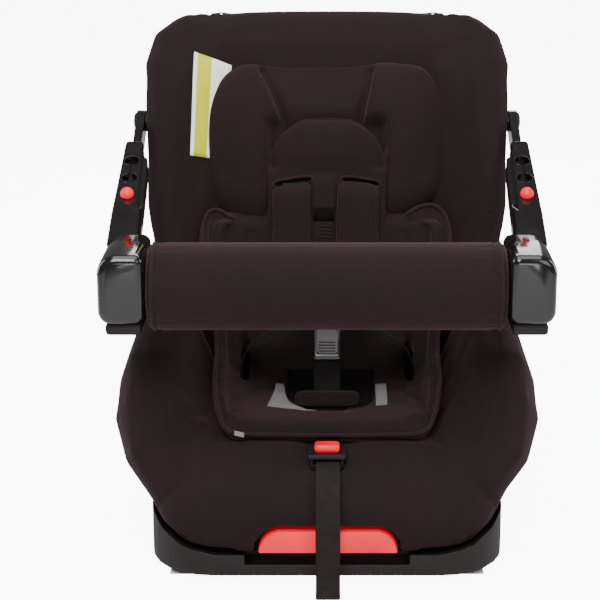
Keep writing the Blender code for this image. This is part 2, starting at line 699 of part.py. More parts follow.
def build_insert():
    """The infant insert follows the covers from the seat's front, through the bight, up the back."""
    rows = [
        seat_row((-0.152, 0.1285), (-0.3, 1.0), 0.108, 0.030, 0.004),
        seat_row((-0.138, 0.1280), (-0.1, 1.0), 0.120, 0.034, 0.016),
        seat_row((-0.105, 0.1265), (0.0, 1.0), 0.1290, 0.038, 0.034),
        seat_row((-0.060, 0.1235), (-0.05, 1.0), 0.1320, 0.040, 0.052),
        seat_row((-0.015, 0.1215), (-0.2, 1.0), 0.1325, 0.040, 0.062),
        seat_row((0.022, 0.1320), (-0.55, 0.84), 0.1330, 0.041, 0.060),
        seat_row((0.052, 0.1600), (-0.85, 0.5), 0.1340, 0.043, 0.052),
        seat_row((0.0715, 0.2000), (-0.95, 0.31), 0.1370, 0.046, 0.047),
        seat_row((0.0900, 0.2570), (-0.951, 0.309), 0.1420, 0.046, 0.046),
        seat_row((0.1060, 0.3060), (-0.951, 0.309), 0.1360, 0.040, 0.040),
        seat_row((0.1130, 0.3275), (-0.951, 0.309), 0.1170, 0.028, 0.024),
        seat_row((0.1205, 0.3505), (-0.951, 0.309), 0.0920, 0.022, 0.009),
        seat_row((0.1271, 0.3708), (-0.951, 0.309), 0.0780, 0.018, 0.003),
    ]
    insert = slab("infant_insert", rows, lambda k, j: 0.0, lambda k, j: 0.014, "insert_fabric")
    crotch = rounded_rect(-0.022, -0.077, 0.022, -0.061, (0.004,) * 4, 3)
    lifted = Matrix.Translation((0, 0, 0.10))
    boolean(insert, prism("insert_crotch_slot", crotch, 0.10, lifted, cutter=True))
    for sign in (-1, 1):
        boolean(insert, harness_slot(f"insert_slot_{sign}", SLOT_SPOTS[0][0], sign, 0.023, 0.006))
        x = sign * HIP.x
        low, high = (min(x * 0.93, x * 1.041), 0.0027, 0.10), (max(x * 0.93, x * 1.041), 0.0463, 0.215)
        boolean(insert, box(f"insert_hip_slot_{sign}", low, high, cutter=True))


def smooth(t):
    t = min(max(t, 0.0), 1.0)
    return t * t * (3.0 - 2.0 * t)


def build_head_pillow():
    """A butterfly shaped pillow; its lower flap lies below the insert."""
    rows, columns = 10, 17
    lifts, grid = [], []
    for k in range(rows):
        v = k / (rows - 1)
        half = 0.138 * (1.0 - 0.36 * abs(2.0 * v - 1.0) ** (4 if v < 0.5 else 7))
        line, lift = [], []
        for j in range(columns):
            u = -1.0 + 2.0 * j / (columns - 1)
            notch = 0.074 * (1.0 - smooth((abs(u) - 0.27) / 0.24))
            start = mix(0.2180, 0.136, smooth((abs(u) - 0.68) / 0.18))
            length = mix(start, 0.350 - notch, v)
            x = u * half
            line.append(on_back(x, length, 0.0252 + 0.016 * smooth((abs(x) - 0.105) / 0.031)))
            plump = smooth((abs(x) - 0.070) / 0.02) if length < 0.312 else smooth((abs(u) - 0.3) / 0.2)
            plump *= smooth((length - 0.220) / 0.03) * (1.0 - 0.55 * smooth((abs(x) - 0.10) / 0.03))
            lift.append(0.0100 + 0.024 * plump * (1.0 - 0.6 * smooth((v - 0.8) / 0.2)))
        grid.append(line)
        lifts.append(lift)
    slab("head_pillow", grid, lambda k, j: 0.0, lambda k, j: lifts[k][j], "insert_fabric")


def build_arch_pad():
    outline = [(-0.066, 0.0), (0.066, 0.0)] + arc((0.030, 0.032), 0.036, 0, 90, 6)
    outline += arc((-0.030, 0.032), 0.036, 90, 180, 6)
    pad("arch_pad", outline, 0.0125, back_frame(0.2220, 0.0372), "insert_fabric")


# ---- harness -------------------------------------------------------------------------------------
def ribbon(name, stations, wide, material="webbing", thick=WEB, cutter=False):
    """Webbing along stations of (point, width direction)."""
    count = len(stations)
    grid = []
    for i, (point, width) in enumerate(stations):
        ahead = stations[min(i + 1, count - 1)][0] - stations[max(i - 1, 0)][0]
        tangent = ahead.normalized()
        width = Vector(width)
        width = (width - tangent * width.dot(tangent)).normalized()
        grid.append([point - width * wide / 2, point + width * wide / 2])
    obj = slab(name, grid, lambda k, j: -thick / 2, lambda k, j: thick / 2, material)
    if cutter:
        PARTS.objects.unlink(obj)
        CUTTERS.objects.link(obj)
        obj.hide_render = True
        obj.display_type = "WIRE"
    return obj


BUCKLE = Vector((0.0, -0.052, 0.184))
BUCKLE_UP = Vector((0.0, 0.20, 0.98)).normalized()
BUCKLE_OUT = Vector((0.0, -BUCKLE_UP.z, BUCKLE_UP.y))
TONGUE_TOP = 0.076
TONGUE_X = 0.0185
PAD_LIFT = 0.0604


def on_buckle(x, up, out):
    return BUCKLE + BUCKLE_UP * up + BUCKLE_OUT * out + Vector((x, 0, 0))


def buckle_frame(x, up, out):
    return frame_from(on_buckle(x, up, out), (1, 0, 0), BUCKLE_UP)


def build_harness_side(name, sign):
    across_x = (1.0, 0.0, 0.0)
    slot = SLOT_SPOTS[0][0]
    back = [(0.020, 0.1095, -0.0225), (0.024, 0.130, -0.0225), (0.030, 0.165, -0.0215)]
    back += [(0.035, slot - 0.011, -0.0195), (0.037, slot - 0.003, -0.0150), (0.038, slot, -0.0080)]
    back += [(0.038, slot, 0.010), (0.038, slot, 0.046), (0.038, slot - 0.0005, 0.0530)]
    back += [(0.038, slot - 0.0028, 0.0585), (0.038, slot - 0.0075, PAD_LIFT), (0.037, 0.140, PAD_LIFT)]
    back += [(0.036, 0.092, PAD_LIFT)]
    stations = [(on_back(sign * x, length, lift), across_x) for x, length, lift in back]
    for x, y, z in ((0.034, 0.056, 0.2425), (0.031, 0.041, 0.2390), (0.026, 0.014, 0.2470)):
        stations.append((Vector((sign * x, y, z)), across_x))
    x = sign * TONGUE_X
    for up, out in ((0.0860, -0.022), (0.0868, -0.010), (0.0850, 0.0005), (0.0815, 0.0040)):
        stations.append((on_buckle(x, up, out), across_x))
    for up, out in ((0.0770, 0.0046), (0.0730, 0.0030), (0.0712, -0.0010), (0.0700, -0.0070)):
        stations.append((on_buckle(x, up, out), across_x))
    hip = [((0.030, -0.012, 0.232), (0.9, -0.4, 0.0)), ((0.052, 0.000, 0.212), (0.6, -0.8, 0.0))]
    hip += [((0.080, 0.014, 0.194), (0.3, -0.95, 0.0)), ((0.0955, 0.021, 0.174), (0.1, -1.0, 0.0))]
    hip += [((0.0995, 0.024, 0.156), (0.0, -1.0, 0.0)), ((HIP.x, 0.024, 0.132), (0.0, -1.0, 0.0))]
    hip += [((HIP.x, 0.024, 0.0848), (0.0, -1.0, 0.0))]
    for (a, b, c), (d, e, f) in hip:
        width = Vector((d, e * sign, f)) if sign > 0 else Vector((d, -e, f))
        stations.append((Vector((sign * a, b, c)), width))
    ribbon(f"harness_strap_{name}", stations, WEB_WIDE)

    # the shoulder pad is a sleeve around the strap
    outline = rounded_rect(-0.024, -0.090, 0.024, 0.0, (0.012, 0.012, 0.008, 0.008), 5)
    middle = sign * 0.037
    frame = back_frame(slot - 0.0095, PAD_LIFT - 0.0072, middle)
    shoulder = pad(f"shoulder_pad_{name}", outline, 0.0135, frame, "insert_fabric")
    path = [(on_back(sign * x, length, PAD_LIFT), across_x) for x, length in ((0.0385, 0.23), (0.0355, 0.07))]
    boolean(shoulder, ribbon(f"pad_tunnel_{name}", path, 0.0330, thick=0.0032, cutter=True))

    # latch tongue, with the slot that the strap turns around
    half = 0.0172
    plate = [(-half, 0.0), (-half, -0.020), (-half + 0.002, -0.022)]
    inner, outer = -TONGUE_X * sign + sign * 0.0007, -TONGUE_X * sign + sign * 0.0115
    low, high = min(inner, outer), max(inner, outer)
    plate = [(-half, 0.0), (-half, -0.016), (low, -0.027), (low, -0.050), (high, -0.050), (high, -0.027)]
    plate += [(half, -0.016), (half, 0.0), (half - 0.003, 0.004), (-half + 0.003, 0.004)]
    frame = buckle_frame(x, TONGUE_TOP, -0.0012)
    tongue = prism(f"buckle_tongue_{name}", plate, 0.0024, frame, "steel")
    slot = rounded_rect(-0.0156, -0.0085, 0.0156, -0.0012, (0.002,) * 4, 3)
    lift = buckle_frame(x, TONGUE_TOP, -0.01)
    boolean(tongue, prism(f"tongue_slot_{name}", slot, 0.02, lift, cutter=True))

    # plate that anchors the hip end below the pan
    low = (sign * HIP.x - 0.011, 0.0, 0.0825)
    high = (sign * HIP.x + 0.011, 0.048, 0.0843)
    box(f"hip_anchor_{name}", low, high, "steel")


def build_buckle():
    outline = rounded_rect(-0.0155, 0.006, 0.0155, 0.046, (0.006, 0.006, 0.004, 0.004), 4)
    housing = prism("buckle_housing", outline, 0.018, buckle_frame(0, 0, -0.009), "shell_plastic")
    bevel(housing, 0.002, 2)
    slot = [(-0.0125, 0.024), (0.0125, 0.024), (0.0125, 0.05), (-0.0125, 0.05)]
    boolean(housing, prism("tongue_pocket", slot, 0.0034, buckle_frame(0, 0, -0.0017), cutter=True))
    pocket = rounded_rect(-0.0125, 0.0135, 0.0125, 0.0415, (0.003,) * 4, 3)
    boolean(housing, prism("button_pocket", pocket, 0.02, buckle_frame(0, 0, 0.0030), cutter=True))
    cap = rounded_rect(-0.0120, 0.0140, 0.0120, 0.0410, (0.003,) * 4, 3)
    button = prism("buckle_button", cap, 0.0038, buckle_frame(0, 0, 0.0064), "shell_plastic")
    bevel(button, 0.001, 2)
    rise = [Vector((0, y, z)) for y, z in ((-0.069, 0.128), (-0.067, 0.142), (-0.0585, 0.160))]
    top = [Vector((0, -0.0522, 0.1750)), on_buckle(0, 0.0054, 0.0)]
    strap = [Vector((0, -0.069, 0.0880))] + rise + top
    ribbon("crotch_strap", [(point, (1, 0, 0)) for point in strap], WEB_WIDE)
    box("crotch_anchor", (-0.024, -0.080, 0.0845), (0.024, -0.058, 0.0865), "steel")
    frame = frame_from((0, -0.0742, 0.1440), (1, 0, 0), (0, 0.40, 0.916))
    outline = rounded_rect(-0.036, 0.0, 0.036, 0.028, (0.010, 0.010, 0.006, 0.006), 5)
    frame = frame @ Matrix.Translation((0, 0, -0.013))
    crotch = pad("crotch_pad", outline, 0.014, frame, "insert_fabric", 0.003)
    tunnel = [Vector((0, -0.0695, 0.120))] + rise + [Vector((0, -0.050, 0.180))]
    stations = [(point, (1, 0, 0)) for point in tunnel]
    boolean(crotch, ribbon("crotch_tunnel", stations, 0.033, thick=0.0034, cutter=True))


def build_adjuster():
    low, high = (-0.0175, -0.1905, 0.088), (0.0175, -0.1675, 0.1275)
    housing = box("adjuster_housing", low, high, "shell_plastic")
    bezel = box("adjuster_bezel", (-0.0200, -0.1960, 0.1255), (0.0200, -0.1650, 0.1310), cutter=True)
    boolean(housing, bevel(bezel, 0.0015, 2), "UNION")
    boolean(housing, box("strap_rise", (-0.0150, -0.1830, 0.08), (0.0150, -0.1755, 0.1246), cutter=True))
    boolean(housing, box("strap_exit", (-0.0150, -0.21, 0.1180), (0.0150, -0.1756, 0.1247), cutter=True))
    boolean(housing, box("press_pocket", (-0.0141, -0.1891, 0.1263), (0.0141, -0.1709, 0.14), cutter=True))
    low, high = (-0.0136, -0.1886, 0.1297), (0.0136, -0.1714, 0.1390)
    bevel(box("adjuster_button", low, high, "red_plastic"), 0.0035, 3)
    start = [on_back(0, 0.0840, -0.0225), on_back(0, 0.050, -0.0225)]
    path = [(0.118, 0.150), (0.100, 0.116), (0.077, 0.0975), (0.050, 0.0870), (0.020, 0.0830)]
    path += [(-0.010, 0.0795), (-0.110, 0.0785), (-0.160, 0.0790), (-0.171, 0.0805), (-0.1777, 0.0845)]
    path += [(-0.1793, 0.0920), (-0.1795, 0.1130), (-0.1815, 0.1185), (-0.187, 0.1212), (-0.197, 0.1213)]
    path += [(-0.208, 0.1190), (-0.2195, 0.1130), (-0.2290, 0.1010), (-0.2350, 0.0830), (-0.2380, 0.0620)]
    path += [(-0.2386, 0.0400), (-0.2390, 0.0200), (-0.2420, 0.0070), (-0.2500, 0.0022), (-0.2720, 0.0016)]
    points = [Vector((0.001, p.y, p.z)) for p in start] + [Vector((0.001, y, z)) for y, z in path]
    ribbon("adjuster_strap", [(p, (1, 0, 0)) for p in points], ADJUST_WIDE)
    outline = rounded_rect(-0.040, 0.0850, 0.040, 0.1065, (0.008,) * 4, 4)
    prism("harness_yoke", outline, 0.002, back_frame(0.0, -0.0235), "steel")


# ---- guard bar and arms --------------------------------------------------------------------------
ARM = frame_from(PIVOT, ARM_DIR, ARM_UP)
BUTTON_X = 0.2228


def on_arm(x, along, up):
    return PIVOT + ARM_DIR * along + ARM_UP * up + Vector((x, 0, 0))


def sleeve_block(name, sign, grow, start, material=None, cutter=False):
    """The outside of a sleeve: it widens towards the bar."""
    bm = bmesh.new()
    rings = []
    for along, x0, x1, half in (
        (start, 0.2125, 0.2330, SLEEVE_HALF),
        (start + 0.014, 0.2124, 0.2336, SLEEVE_HALF),
        (start + 0.020, 0.2068, 0.2338, SLEEVE_HALF),
        (0.150, 0.2062, 0.2365, SLEEVE_HALF),
        (0.190, 0.2060, 0.2380, SLEEVE_HALF + 0.001),
        (0.242 + grow, 0.2040, 0.2385, SLEEVE_HALF + 0.002),
    ):
        x0, x1, half, round_by = x0 - grow, x1 + grow, half + grow, 0.004
        middle = (x0 + x1) / 2
        ring = rounded_rect(x0 - middle, -half, x1 - middle, half, (round_by,) * 4, 3)
        rings.append([bm.verts.new(on_arm(sign * (a + middle), along, b)) for a, b in ring])
    for low, high in zip(rings, rings[1:]):
        for i in range(len(low)):
            n = (i + 1) % len(low)
            bm.faces.new((low[i], low[n], high[n], high[i]))
    bm.faces.new(rings[0][::-1])
    bm.faces.new(rings[-1])
    return place(name, bm, material, cutter)


def build_arm(name, sign):
    side = lambda x: Matrix.Translation((sign * x, 0, 0)) @ ARM
    low = LINK_X1 if sign > 0 else LINK_X0
    outline = arc((0.0, 0.0), LINK_HALF, 90, 270, 9)
    outline += [(LINK_END - 0.003, -LINK_HALF), (LINK_END, -LINK_HALF + 0.003)]
    outline += [(LINK_END, LINK_HALF - 0.003), (LINK_END - 0.003, LINK_HALF)]
    link = prism(f"arm_link_{name}", outline, LINK_X1 - LINK_X0, side(low), "gloss_plastic")
    start, end = PIVOT + Vector((sign * 0.20, 0, 0)), PIVOT + Vector((sign * 0.24, 0, 0))
    boolean(link, rod(f"link_bore_{name}", start, end, 0.0044, 20, cutter=True))
    x = sign * BUTTON_X
    bore = (on_arm(x, BUTTON_AT, 0.005), on_arm(x, BUTTON_AT, 0.02))
    boolean(link, rod(f"stem_bore_{name}", *bore, 0.0020, 12, cutter=True))

    sleeve = sleeve_block(f"arm_sleeve_{name}", sign, 0.0, SLEEVE_START, "gloss_plastic")
    channel = [(0.0, -LINK_HALF - GAP), (0.235, -LINK_HALF - GAP)]
    channel += [(0.235, LINK_HALF + GAP), (0.0, LINK_HALF + GAP)]
    low = LINK_X1 + GAP if sign > 0 else LINK_X0 - GAP
    wide = LINK_X1 - LINK_X0 + 2 * GAP
    boolean(sleeve, prism(f"link_channel_{name}", channel, wide, side(low), cutter=True))
    step = [(0.050, 0.009), (0.170, 0.009), (0.196, 0.024), (0.196, 0.030), (0.050, 0.030)]
    near = 0.2124 if sign > 0 else 0.2000
    boolean(sleeve, prism(f"inner_step_{name}", step, 0.0124, side(near), cutter=True))
    for i in range(3):
        along = BUTTON_AT - i * HOLE_STEP
        ends = (on_arm(x, along, 0.010), on_arm(x, along, 0.030))
        boolean(sleeve, rod(f"sleeve_hole_{name}_{i}", *ends, HOLE_RADIUS, 20, cutter=True))
    keyway = [(BUTTON_AT - 2 * HOLE_STEP, 0.010), (BUTTON_AT, 0.010)]
    keyway += [(BUTTON_AT, 0.030), (BUTTON_AT - 2 * HOLE_STEP, 0.030)]
    low = BUTTON_X + 0.002 if sign > 0 else BUTTON_X - 0.002
    boolean(sleeve, prism(f"keyway_{name}", keyway, 0.004, side(low), cutter=True))

    profile = [(0.0, 0.0190), (0.0030, 0.0186), (0.0056, 0.0172), (0.0073, 0.0148), (0.0079, 0.0120)]
    profile += [(0.0079, 0.0106), (0.0015, 0.0106)]
    profile += [(0.0015, 0.0), (0.0, 0.0)]
    turned(f"arm_button_{name}", profile, on_arm(x, BUTTON_AT, 0.0090), ARM_UP, 20, "red_plastic")

    start, end = PIVOT + Vector((sign * 0.1935, 0, 0)), PIVOT + Vector((sign * 0.2258, 0, 0))
    rod(f"pivot_bolt_{name}", start, end, 0.0040, 16, "steel")
    profile = [(0.0, 0.0038), (0.0060, 0.0034), (0.0095, 0.0020), (0.0105, 0.0), (0.0, 0.0)]
    origin = PIVOT + Vector((sign * 0.2261, 0, 0))
    turned(f"pivot_cap_{name}", profile, origin, (sign, 0, 0), 24, "gloss_plastic")

    outline = rounded_rect(CAP_INNER, CAP_BOTTOM, CAP_OUTER, CAP_TOP, (0.020, 0.009, 0.009, 0.014), 7)
    outline = [(sign * a, b) for a, b in outline]
    frame = frame_from((0.0, CAP_BACK, 0.0), (1, 0, 0), (0, 0, 1))
    cap = prism(f"end_cap_{name}", outline, CAP_BACK - CAP_FRONT, frame, "gloss_plastic")
    bevel(cap, 0.008, 3, 60)
    boolean(cap, sleeve_block(f"sleeve_socket_{name}", sign, 0.0009, SLEEVE_START, cutter=True))
    start, end = (sign * 0.18, BAR.y, BAR.z), (sign * 0.2265, BAR.y, BAR.z)
    boolean(cap, rod(f"tube_socket_{name}", start, end, TUBE_RADIUS + 0.0004, 24, cutter=True))
    near, far = sorted((sign * 0.1950, sign * 0.2330))
    low, high = (near, -0.172, 0.2550), (far, -0.090, CAP_BOTTOM - GAP)
    base = box(f"end_cap_base_{name}", low, high, "shell_plastic")
    bevel(base, 0.004, 2)


def build_bar():
    start, end = (-0.226, BAR.y, BAR.z), (0.226, BAR.y, BAR.z)
    tube = rod("bar_tube", start, end, TUBE_RADIUS, 24, "steel")
    start, end = (-0.23, BAR.y, BAR.z), (0.23, BAR.y, BAR.z)
    boolean(tube, rod("tube_bore", start, end, TUBE_RADIUS - 0.002, 24, cutter=True))
    profile = [(TUBE_RADIUS + GAP, BAR_HALF), (BAR_RADIUS - 0.004, BAR_HALF), (BAR_RADIUS, BAR_HALF - 0.006)]
    profile += [(BAR_RADIUS, -BAR_HALF + 0.006), (BAR_RADIUS - 0.004, -BAR_HALF)]
    profile += [(TUBE_RADIUS + GAP, -BAR_HALF), (TUBE_RADIUS + GAP, BAR_HALF)]
    bar_pad = turned("bar_pad", profile, (0, BAR.y, BAR.z), (1, 0, 0), 32, "fabric")
    return bar_pad


# ---- assembly ------------------------------------------------------------------------------------
def joint_axis(name, point, children, parent=None):
    """An empty on a joint's axis; the pieces that move with it are its children."""
    axis = bpy.data.objects.new(name, None)
    axis.empty_display_size = 0.02
    PARTS.objects.link(axis)
    axis.matrix_world = Matrix.Translation(Vector(point))
    if parent:
        axis.parent = parent
        axis.matrix_parent_inverse = parent.matrix_world.inverted()
    for child in children:
        obj = bpy.data.objects[child]
        world = obj.matrix_world.copy()
        obj.parent = axis
        obj.matrix_parent_inverse = axis.matrix_world.inverted()
        obj.matrix_world = world
    return axis


build_base()
build_rails()
build_shell()
build_lever()
build_covers()
build_insert()
build_head_pillow()
build_arch_pad()
for side_name, side_sign in (("left", -1), ("right", 1)):
    build_harness_side(side_name, side_sign)
    build_arm(side_name, side_sign)
build_buckle()
build_adjuster()
build_bar()
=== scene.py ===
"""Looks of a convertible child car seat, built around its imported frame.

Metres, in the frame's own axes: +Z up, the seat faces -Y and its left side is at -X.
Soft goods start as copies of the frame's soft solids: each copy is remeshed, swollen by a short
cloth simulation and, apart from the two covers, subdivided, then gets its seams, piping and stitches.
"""

import json
import math

import bmesh
import bpy
import numpy as np
from mathutils import Matrix, Vector, kdtree
from mathutils.bvhtree import BVHTree


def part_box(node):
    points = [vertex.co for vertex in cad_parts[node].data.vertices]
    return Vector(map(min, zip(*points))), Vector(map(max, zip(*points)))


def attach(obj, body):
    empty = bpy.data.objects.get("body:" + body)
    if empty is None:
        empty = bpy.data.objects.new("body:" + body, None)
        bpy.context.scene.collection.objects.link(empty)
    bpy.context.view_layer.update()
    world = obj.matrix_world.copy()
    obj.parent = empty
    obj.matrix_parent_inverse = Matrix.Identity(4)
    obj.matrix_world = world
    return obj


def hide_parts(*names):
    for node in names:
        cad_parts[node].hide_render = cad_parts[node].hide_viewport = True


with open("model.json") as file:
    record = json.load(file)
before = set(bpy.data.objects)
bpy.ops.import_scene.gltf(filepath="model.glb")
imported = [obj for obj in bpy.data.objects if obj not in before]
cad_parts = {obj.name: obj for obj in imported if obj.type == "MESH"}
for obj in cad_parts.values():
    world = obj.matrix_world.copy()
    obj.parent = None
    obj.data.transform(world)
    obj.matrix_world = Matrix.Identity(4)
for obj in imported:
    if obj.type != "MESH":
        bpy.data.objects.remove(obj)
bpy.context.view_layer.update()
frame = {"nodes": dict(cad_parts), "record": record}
NODES = frame["nodes"]
SCENE = bpy.context.scene
SIDES = (("left", -1), ("right", 1))

# The backrest's floor: where it starts, and its tilt from level.
BACK_ANGLE = math.radians(72)
BACK_START = Vector((0.0, 0.095, 0.154))
BACK_UP = Vector((0.0, math.cos(BACK_ANGLE), math.sin(BACK_ANGLE)))
BACK_OUT = Vector((0.0, -math.sin(BACK_ANGLE), math.cos(BACK_ANGLE)))
ACROSS = Vector((1.0, 0.0, 0.0))


def on_back(x, length, lift):
    """The point this far up the backrest's floor, and lifted off it towards the child."""
    return BACK_START + BACK_UP * length + BACK_OUT * lift + ACROSS * x


def mix(a, b, t):
    return a + (b - a) * t


def smooth(t):
    t = min(max(t, 0.0), 1.0)
    return t * t * (3.0 - 2.0 * t)


# ---- materials -----------------------------------------------------------------------------------
class Finish:
    """Short-hand for building one material's node tree."""

    def __init__(self, name):
        self.material = bpy.data.materials.new(name)
        self.material.use_nodes = True
        self.tree = self.material.node_tree
        self.shader = self.tree.nodes["Principled BSDF"]
        coordinates = self.add("ShaderNodeTexCoord")
        self.place = coordinates.outputs["Object"]
        self.normal = coordinates.outputs["Normal"]
        self.uv = coordinates.outputs["UV"]

    def add(self, kind, inputs=None, **settings):
        node = self.tree.nodes.new(kind)
        for key, value in settings.items():
            setattr(node, key, value)
        for key, value in (inputs or {}).items():
            self.put(node.inputs[key], value)
        return node

    def put(self, socket, value):
        if isinstance(value, bpy.types.NodeSocket):
            self.tree.links.new(value, socket)
        else:
            socket.default_value = value

    def math(self, operation, *values):
        node = self.add("ShaderNodeMath", operation=operation)
        for socket, value in zip(node.inputs, values):
            self.put(socket, value)
        return node.outputs[0]

    def noise(self, scale, detail=3.0, stretch=(1, 1, 1)):
        place = self.add("ShaderNodeMapping", {"Vector": self.place, "Scale": stretch}).outputs[0]
        settings = {"Vector": place, "Scale": scale, "Detail": detail}
        return self.add("ShaderNodeTexNoise", settings).outputs[0]

    def between(self, value, low, high):
        """value, from 0 to 1, spread over low to high."""
        settings = {"Value": value, "To Min": low, "To Max": high}
        return self.add("ShaderNodeMapRange", settings).outputs[0]

    def colours(self, value, *stops):
        """A colour ramp over value; each stop is (position, colour)."""
        ramp = self.add("ShaderNodeValToRGB", {"Fac": value})
        elements = ramp.color_ramp.elements
        while len(elements) < len(stops):
            elements.new(0.5)
        for element, (position, colour) in zip(elements, stops):
            element.position = position
            element.color = (*colour, 1.0)
        return ramp.outputs[0]

    def blend(self, share, first, second):
        node = self.add("ShaderNodeMix", data_type="RGBA")
        self.put(node.inputs["Factor"], share)
        for key, value in ((6, first), (7, second)):
            self.put(node.inputs[key], (*value, 1.0) if isinstance(value, tuple) else value)
        return node.outputs[2]

    def bump(self, height, distance, strength=1.0, under=None):
        settings = {"Height": height, "Distance": distance, "Strength": strength}
        if under:
            settings["Normal"] = under
        return self.add("ShaderNodeBump", settings).outputs[0]

    def set(self, **inputs):
        for key, value in inputs.items():
            value = (*value, 1.0) if isinstance(value, tuple) and len(value) == 3 else value
            self.put(self.shader.inputs[key.replace("_", " ")], value)
        return self

    def weave(self, pitch):
        """0 to 1: threads that pass over and under, laid flat on whichever way the surface faces."""
        turn = 2.0 * math.pi / pitch
        place = self.add("ShaderNodeSeparateXYZ", {0: self.place})
        facing = self.add("ShaderNodeSeparateXYZ", {0: self.normal})
        waves = [self.math("SINE", self.math("MULTIPLY", place.outputs[i], turn)) for i in range(3)]
        total = None
        for i in range(3):
            weight = self.math("MULTIPLY", facing.outputs[i], facing.outputs[i])
            pattern = self.math("MULTIPLY", waves[(i + 1) % 3], waves[(i + 2) % 3])
            part = self.math("MULTIPLY", weight, pattern)
            total = part if total is None else self.math("ADD", total, part)
        return self.math("MULTIPLY_ADD", total, 0.5, 0.5)

    def edge(self, radius):
        """About 0 on flat surface, rising towards 1 on outside and inside edges."""
        rounded = self.add("ShaderNodeBevel", {"Radius": radius}, samples=4).outputs[0]
        plain = self.add("ShaderNodeNewGeometry").outputs["Normal"]
        dot = self.add("ShaderNodeVectorMath", {0: rounded, 1: plain}, operation="DOT_PRODUCT")
        return self.between(dot.outputs["Value"], 6.0, 0.0), rounded


def scaled(colour, factor):
    return tuple(min(channel * factor, 1.0) for channel in colour)


def cloth_finish(name, colour, pitch=0.0016, sheen=0.35, relief=0.00022):
    """Knitted polyester: a fine weave, heather flecks, broad soft shade changes and a sheen."""
    f = Finish(name)
    weave = f.weave(pitch)
    fleck = f.noise(900.0, 2.0)
    broad = f.noise(9.0, 3.0)
    shade = f.math("MULTIPLY_ADD", weave, 0.35, f.math("MULTIPLY", fleck, 0.35))
    shade = f.math("MULTIPLY_ADD", broad, 0.40, shade)
    tone = f.colours(shade, (0.2, scaled(colour, 0.60)), (0.55, colour), (0.9, scaled(colour, 1.65)))
    slubs = f.noise(260.0, 2.0, (1.0, 0.12, 0.12))
    height = f.math("MULTIPLY_ADD", slubs, 0.5, weave)
    wrinkle = f.bump(f.noise(22.0, 2.0), 0.0016, 0.35)
    normal = f.bump(height, relief, 0.9, wrinkle)
    f.set(Base_Color=tone, Roughness=f.between(broad, 0.78, 0.95), Normal=normal)
    f.set(Sheen_Weight=sheen, Sheen_Roughness=0.45, Sheen_Tint=scaled(colour, 14.0))
    f.set(Specular_IOR_Level=0.14)
    return f.material


def webbing_finish(name, colour):
    """Seat-belt webbing: chevron ribs along its length and a firm selvage on each side."""
    f = Finish(name)
    uv = f.add("ShaderNodeSeparateXYZ", {0: f.uv})
    across = f.math("ABSOLUTE", f.math("SUBTRACT", f.math("FRACT", f.math("MULTIPLY", uv.outputs[0], 5.0)), 0.5))
    along = f.math("MULTIPLY", uv.outputs[1], 2.0 * math.pi / 0.0016)
    chevron = f.math("SINE", f.math("MULTIPLY_ADD", across, 14.0, along))
    ribs = f.math("SINE", f.math("MULTIPLY", uv.outputs[0], 2.0 * math.pi * 20.0))
    height = f.math("MULTIPLY_ADD", chevron, 0.5, f.math("MULTIPLY", ribs, 0.35))
    shade = f.math("MULTIPLY_ADD", height, 0.35, f.noise(60.0, 3.0))
    tone = f.colours(shade, (0.15, scaled(colour, 0.6)), (0.5, colour), (0.9, scaled(colour, 1.5)))
    f.set(Base_Color=tone, Roughness=0.75, Sheen_Weight=0.04, Sheen_Roughness=0.35)
    f.set(Normal=f.bump(height, 0.00018, 0.9), Specular_IOR_Level=0.2)
    return f.material


def moulded_finish(name, colour, roughness=0.5, grain=0.00010):
    """Injection-moulded polypropylene: a fine grain, faint flow shading and rubbed edges."""
    f = Finish(name)
    grain_map = f.noise(1600.0, 2.0)
    flow = f.noise(14.0, 4.0, (1.0, 1.0, 0.4))
    edge, rounded = f.edge(0.0012)
    tone = f.colours(flow, (0.3, scaled(colour, 0.82)), (0.7, scaled(colour, 1.2)))
    tone = f.blend(f.math("MINIMUM", edge, 0.45), tone, scaled(colour, 2.6))
    rough = f.math("MULTIPLY_ADD", edge, -0.08, f.between(flow, roughness - 0.06, roughness + 0.08))
    f.set(Base_Color=tone, Roughness=rough, Normal=f.bump(grain_map, grain, 0.8, rounded))
    f.set(Specular_IOR_Level=0.35)
    return f.material


def gloss_finish(name, colour, roughness=0.10, coat=0.45, glow=0.0):
    """Polished plastic: a clear gloss with handling smears, hairline scratches and rubbed edges."""
    f = Finish(name)
    smears = f.noise(28.0, 5.0, (1.0, 1.0, 0.5))
    scratches = f.noise(380.0, 2.0, (1.0, 0.06, 0.06))
    edge, rounded = f.edge(0.0015)
    rough = f.between(smears, roughness * 0.5, roughness * 2.2)
    rough = f.math("MULTIPLY_ADD", edge, 0.12, rough)
    tone = f.colours(smears, (0.35, scaled(colour, 0.8)), (0.65, scaled(colour, 1.15)))
    tone = f.blend(f.math("MINIMUM", edge, 0.35), tone, scaled(colour, 2.4))
    ripple = f.bump(f.noise(34.0, 2.0), 0.0009, 0.35, rounded)
    f.set(Base_Color=tone, Roughness=rough, Normal=f.bump(scratches, 0.00002, 0.5, ripple))
    f.set(Coat_Weight=coat, Coat_Roughness=0.05, Specular_IOR_Level=0.45)
    # glow makes the plastic shine by itself, as no lamp does: painted light
    f.set(Emission_Color=colour, Emission_Strength=glow)
    return f.material


def steel_finish(name, colour):
    """Zinc-plated steel with fine drawing lines and a slight blotch."""
    f = Finish(name)
    lines = f.noise(700.0, 2.0, (0.05, 1.0, 1.0))
    blotch = f.noise(60.0, 3.0)
    tone = f.colours(blotch, (0.3, scaled(colour, 0.75)), (0.7, colour))
    f.set(Base_Color=tone, Metallic=1.0, Roughness=f.between(lines, 0.18, 0.42))
    f.set(Normal=f.bump(lines, 0.00003, 0.6))
    return f.material


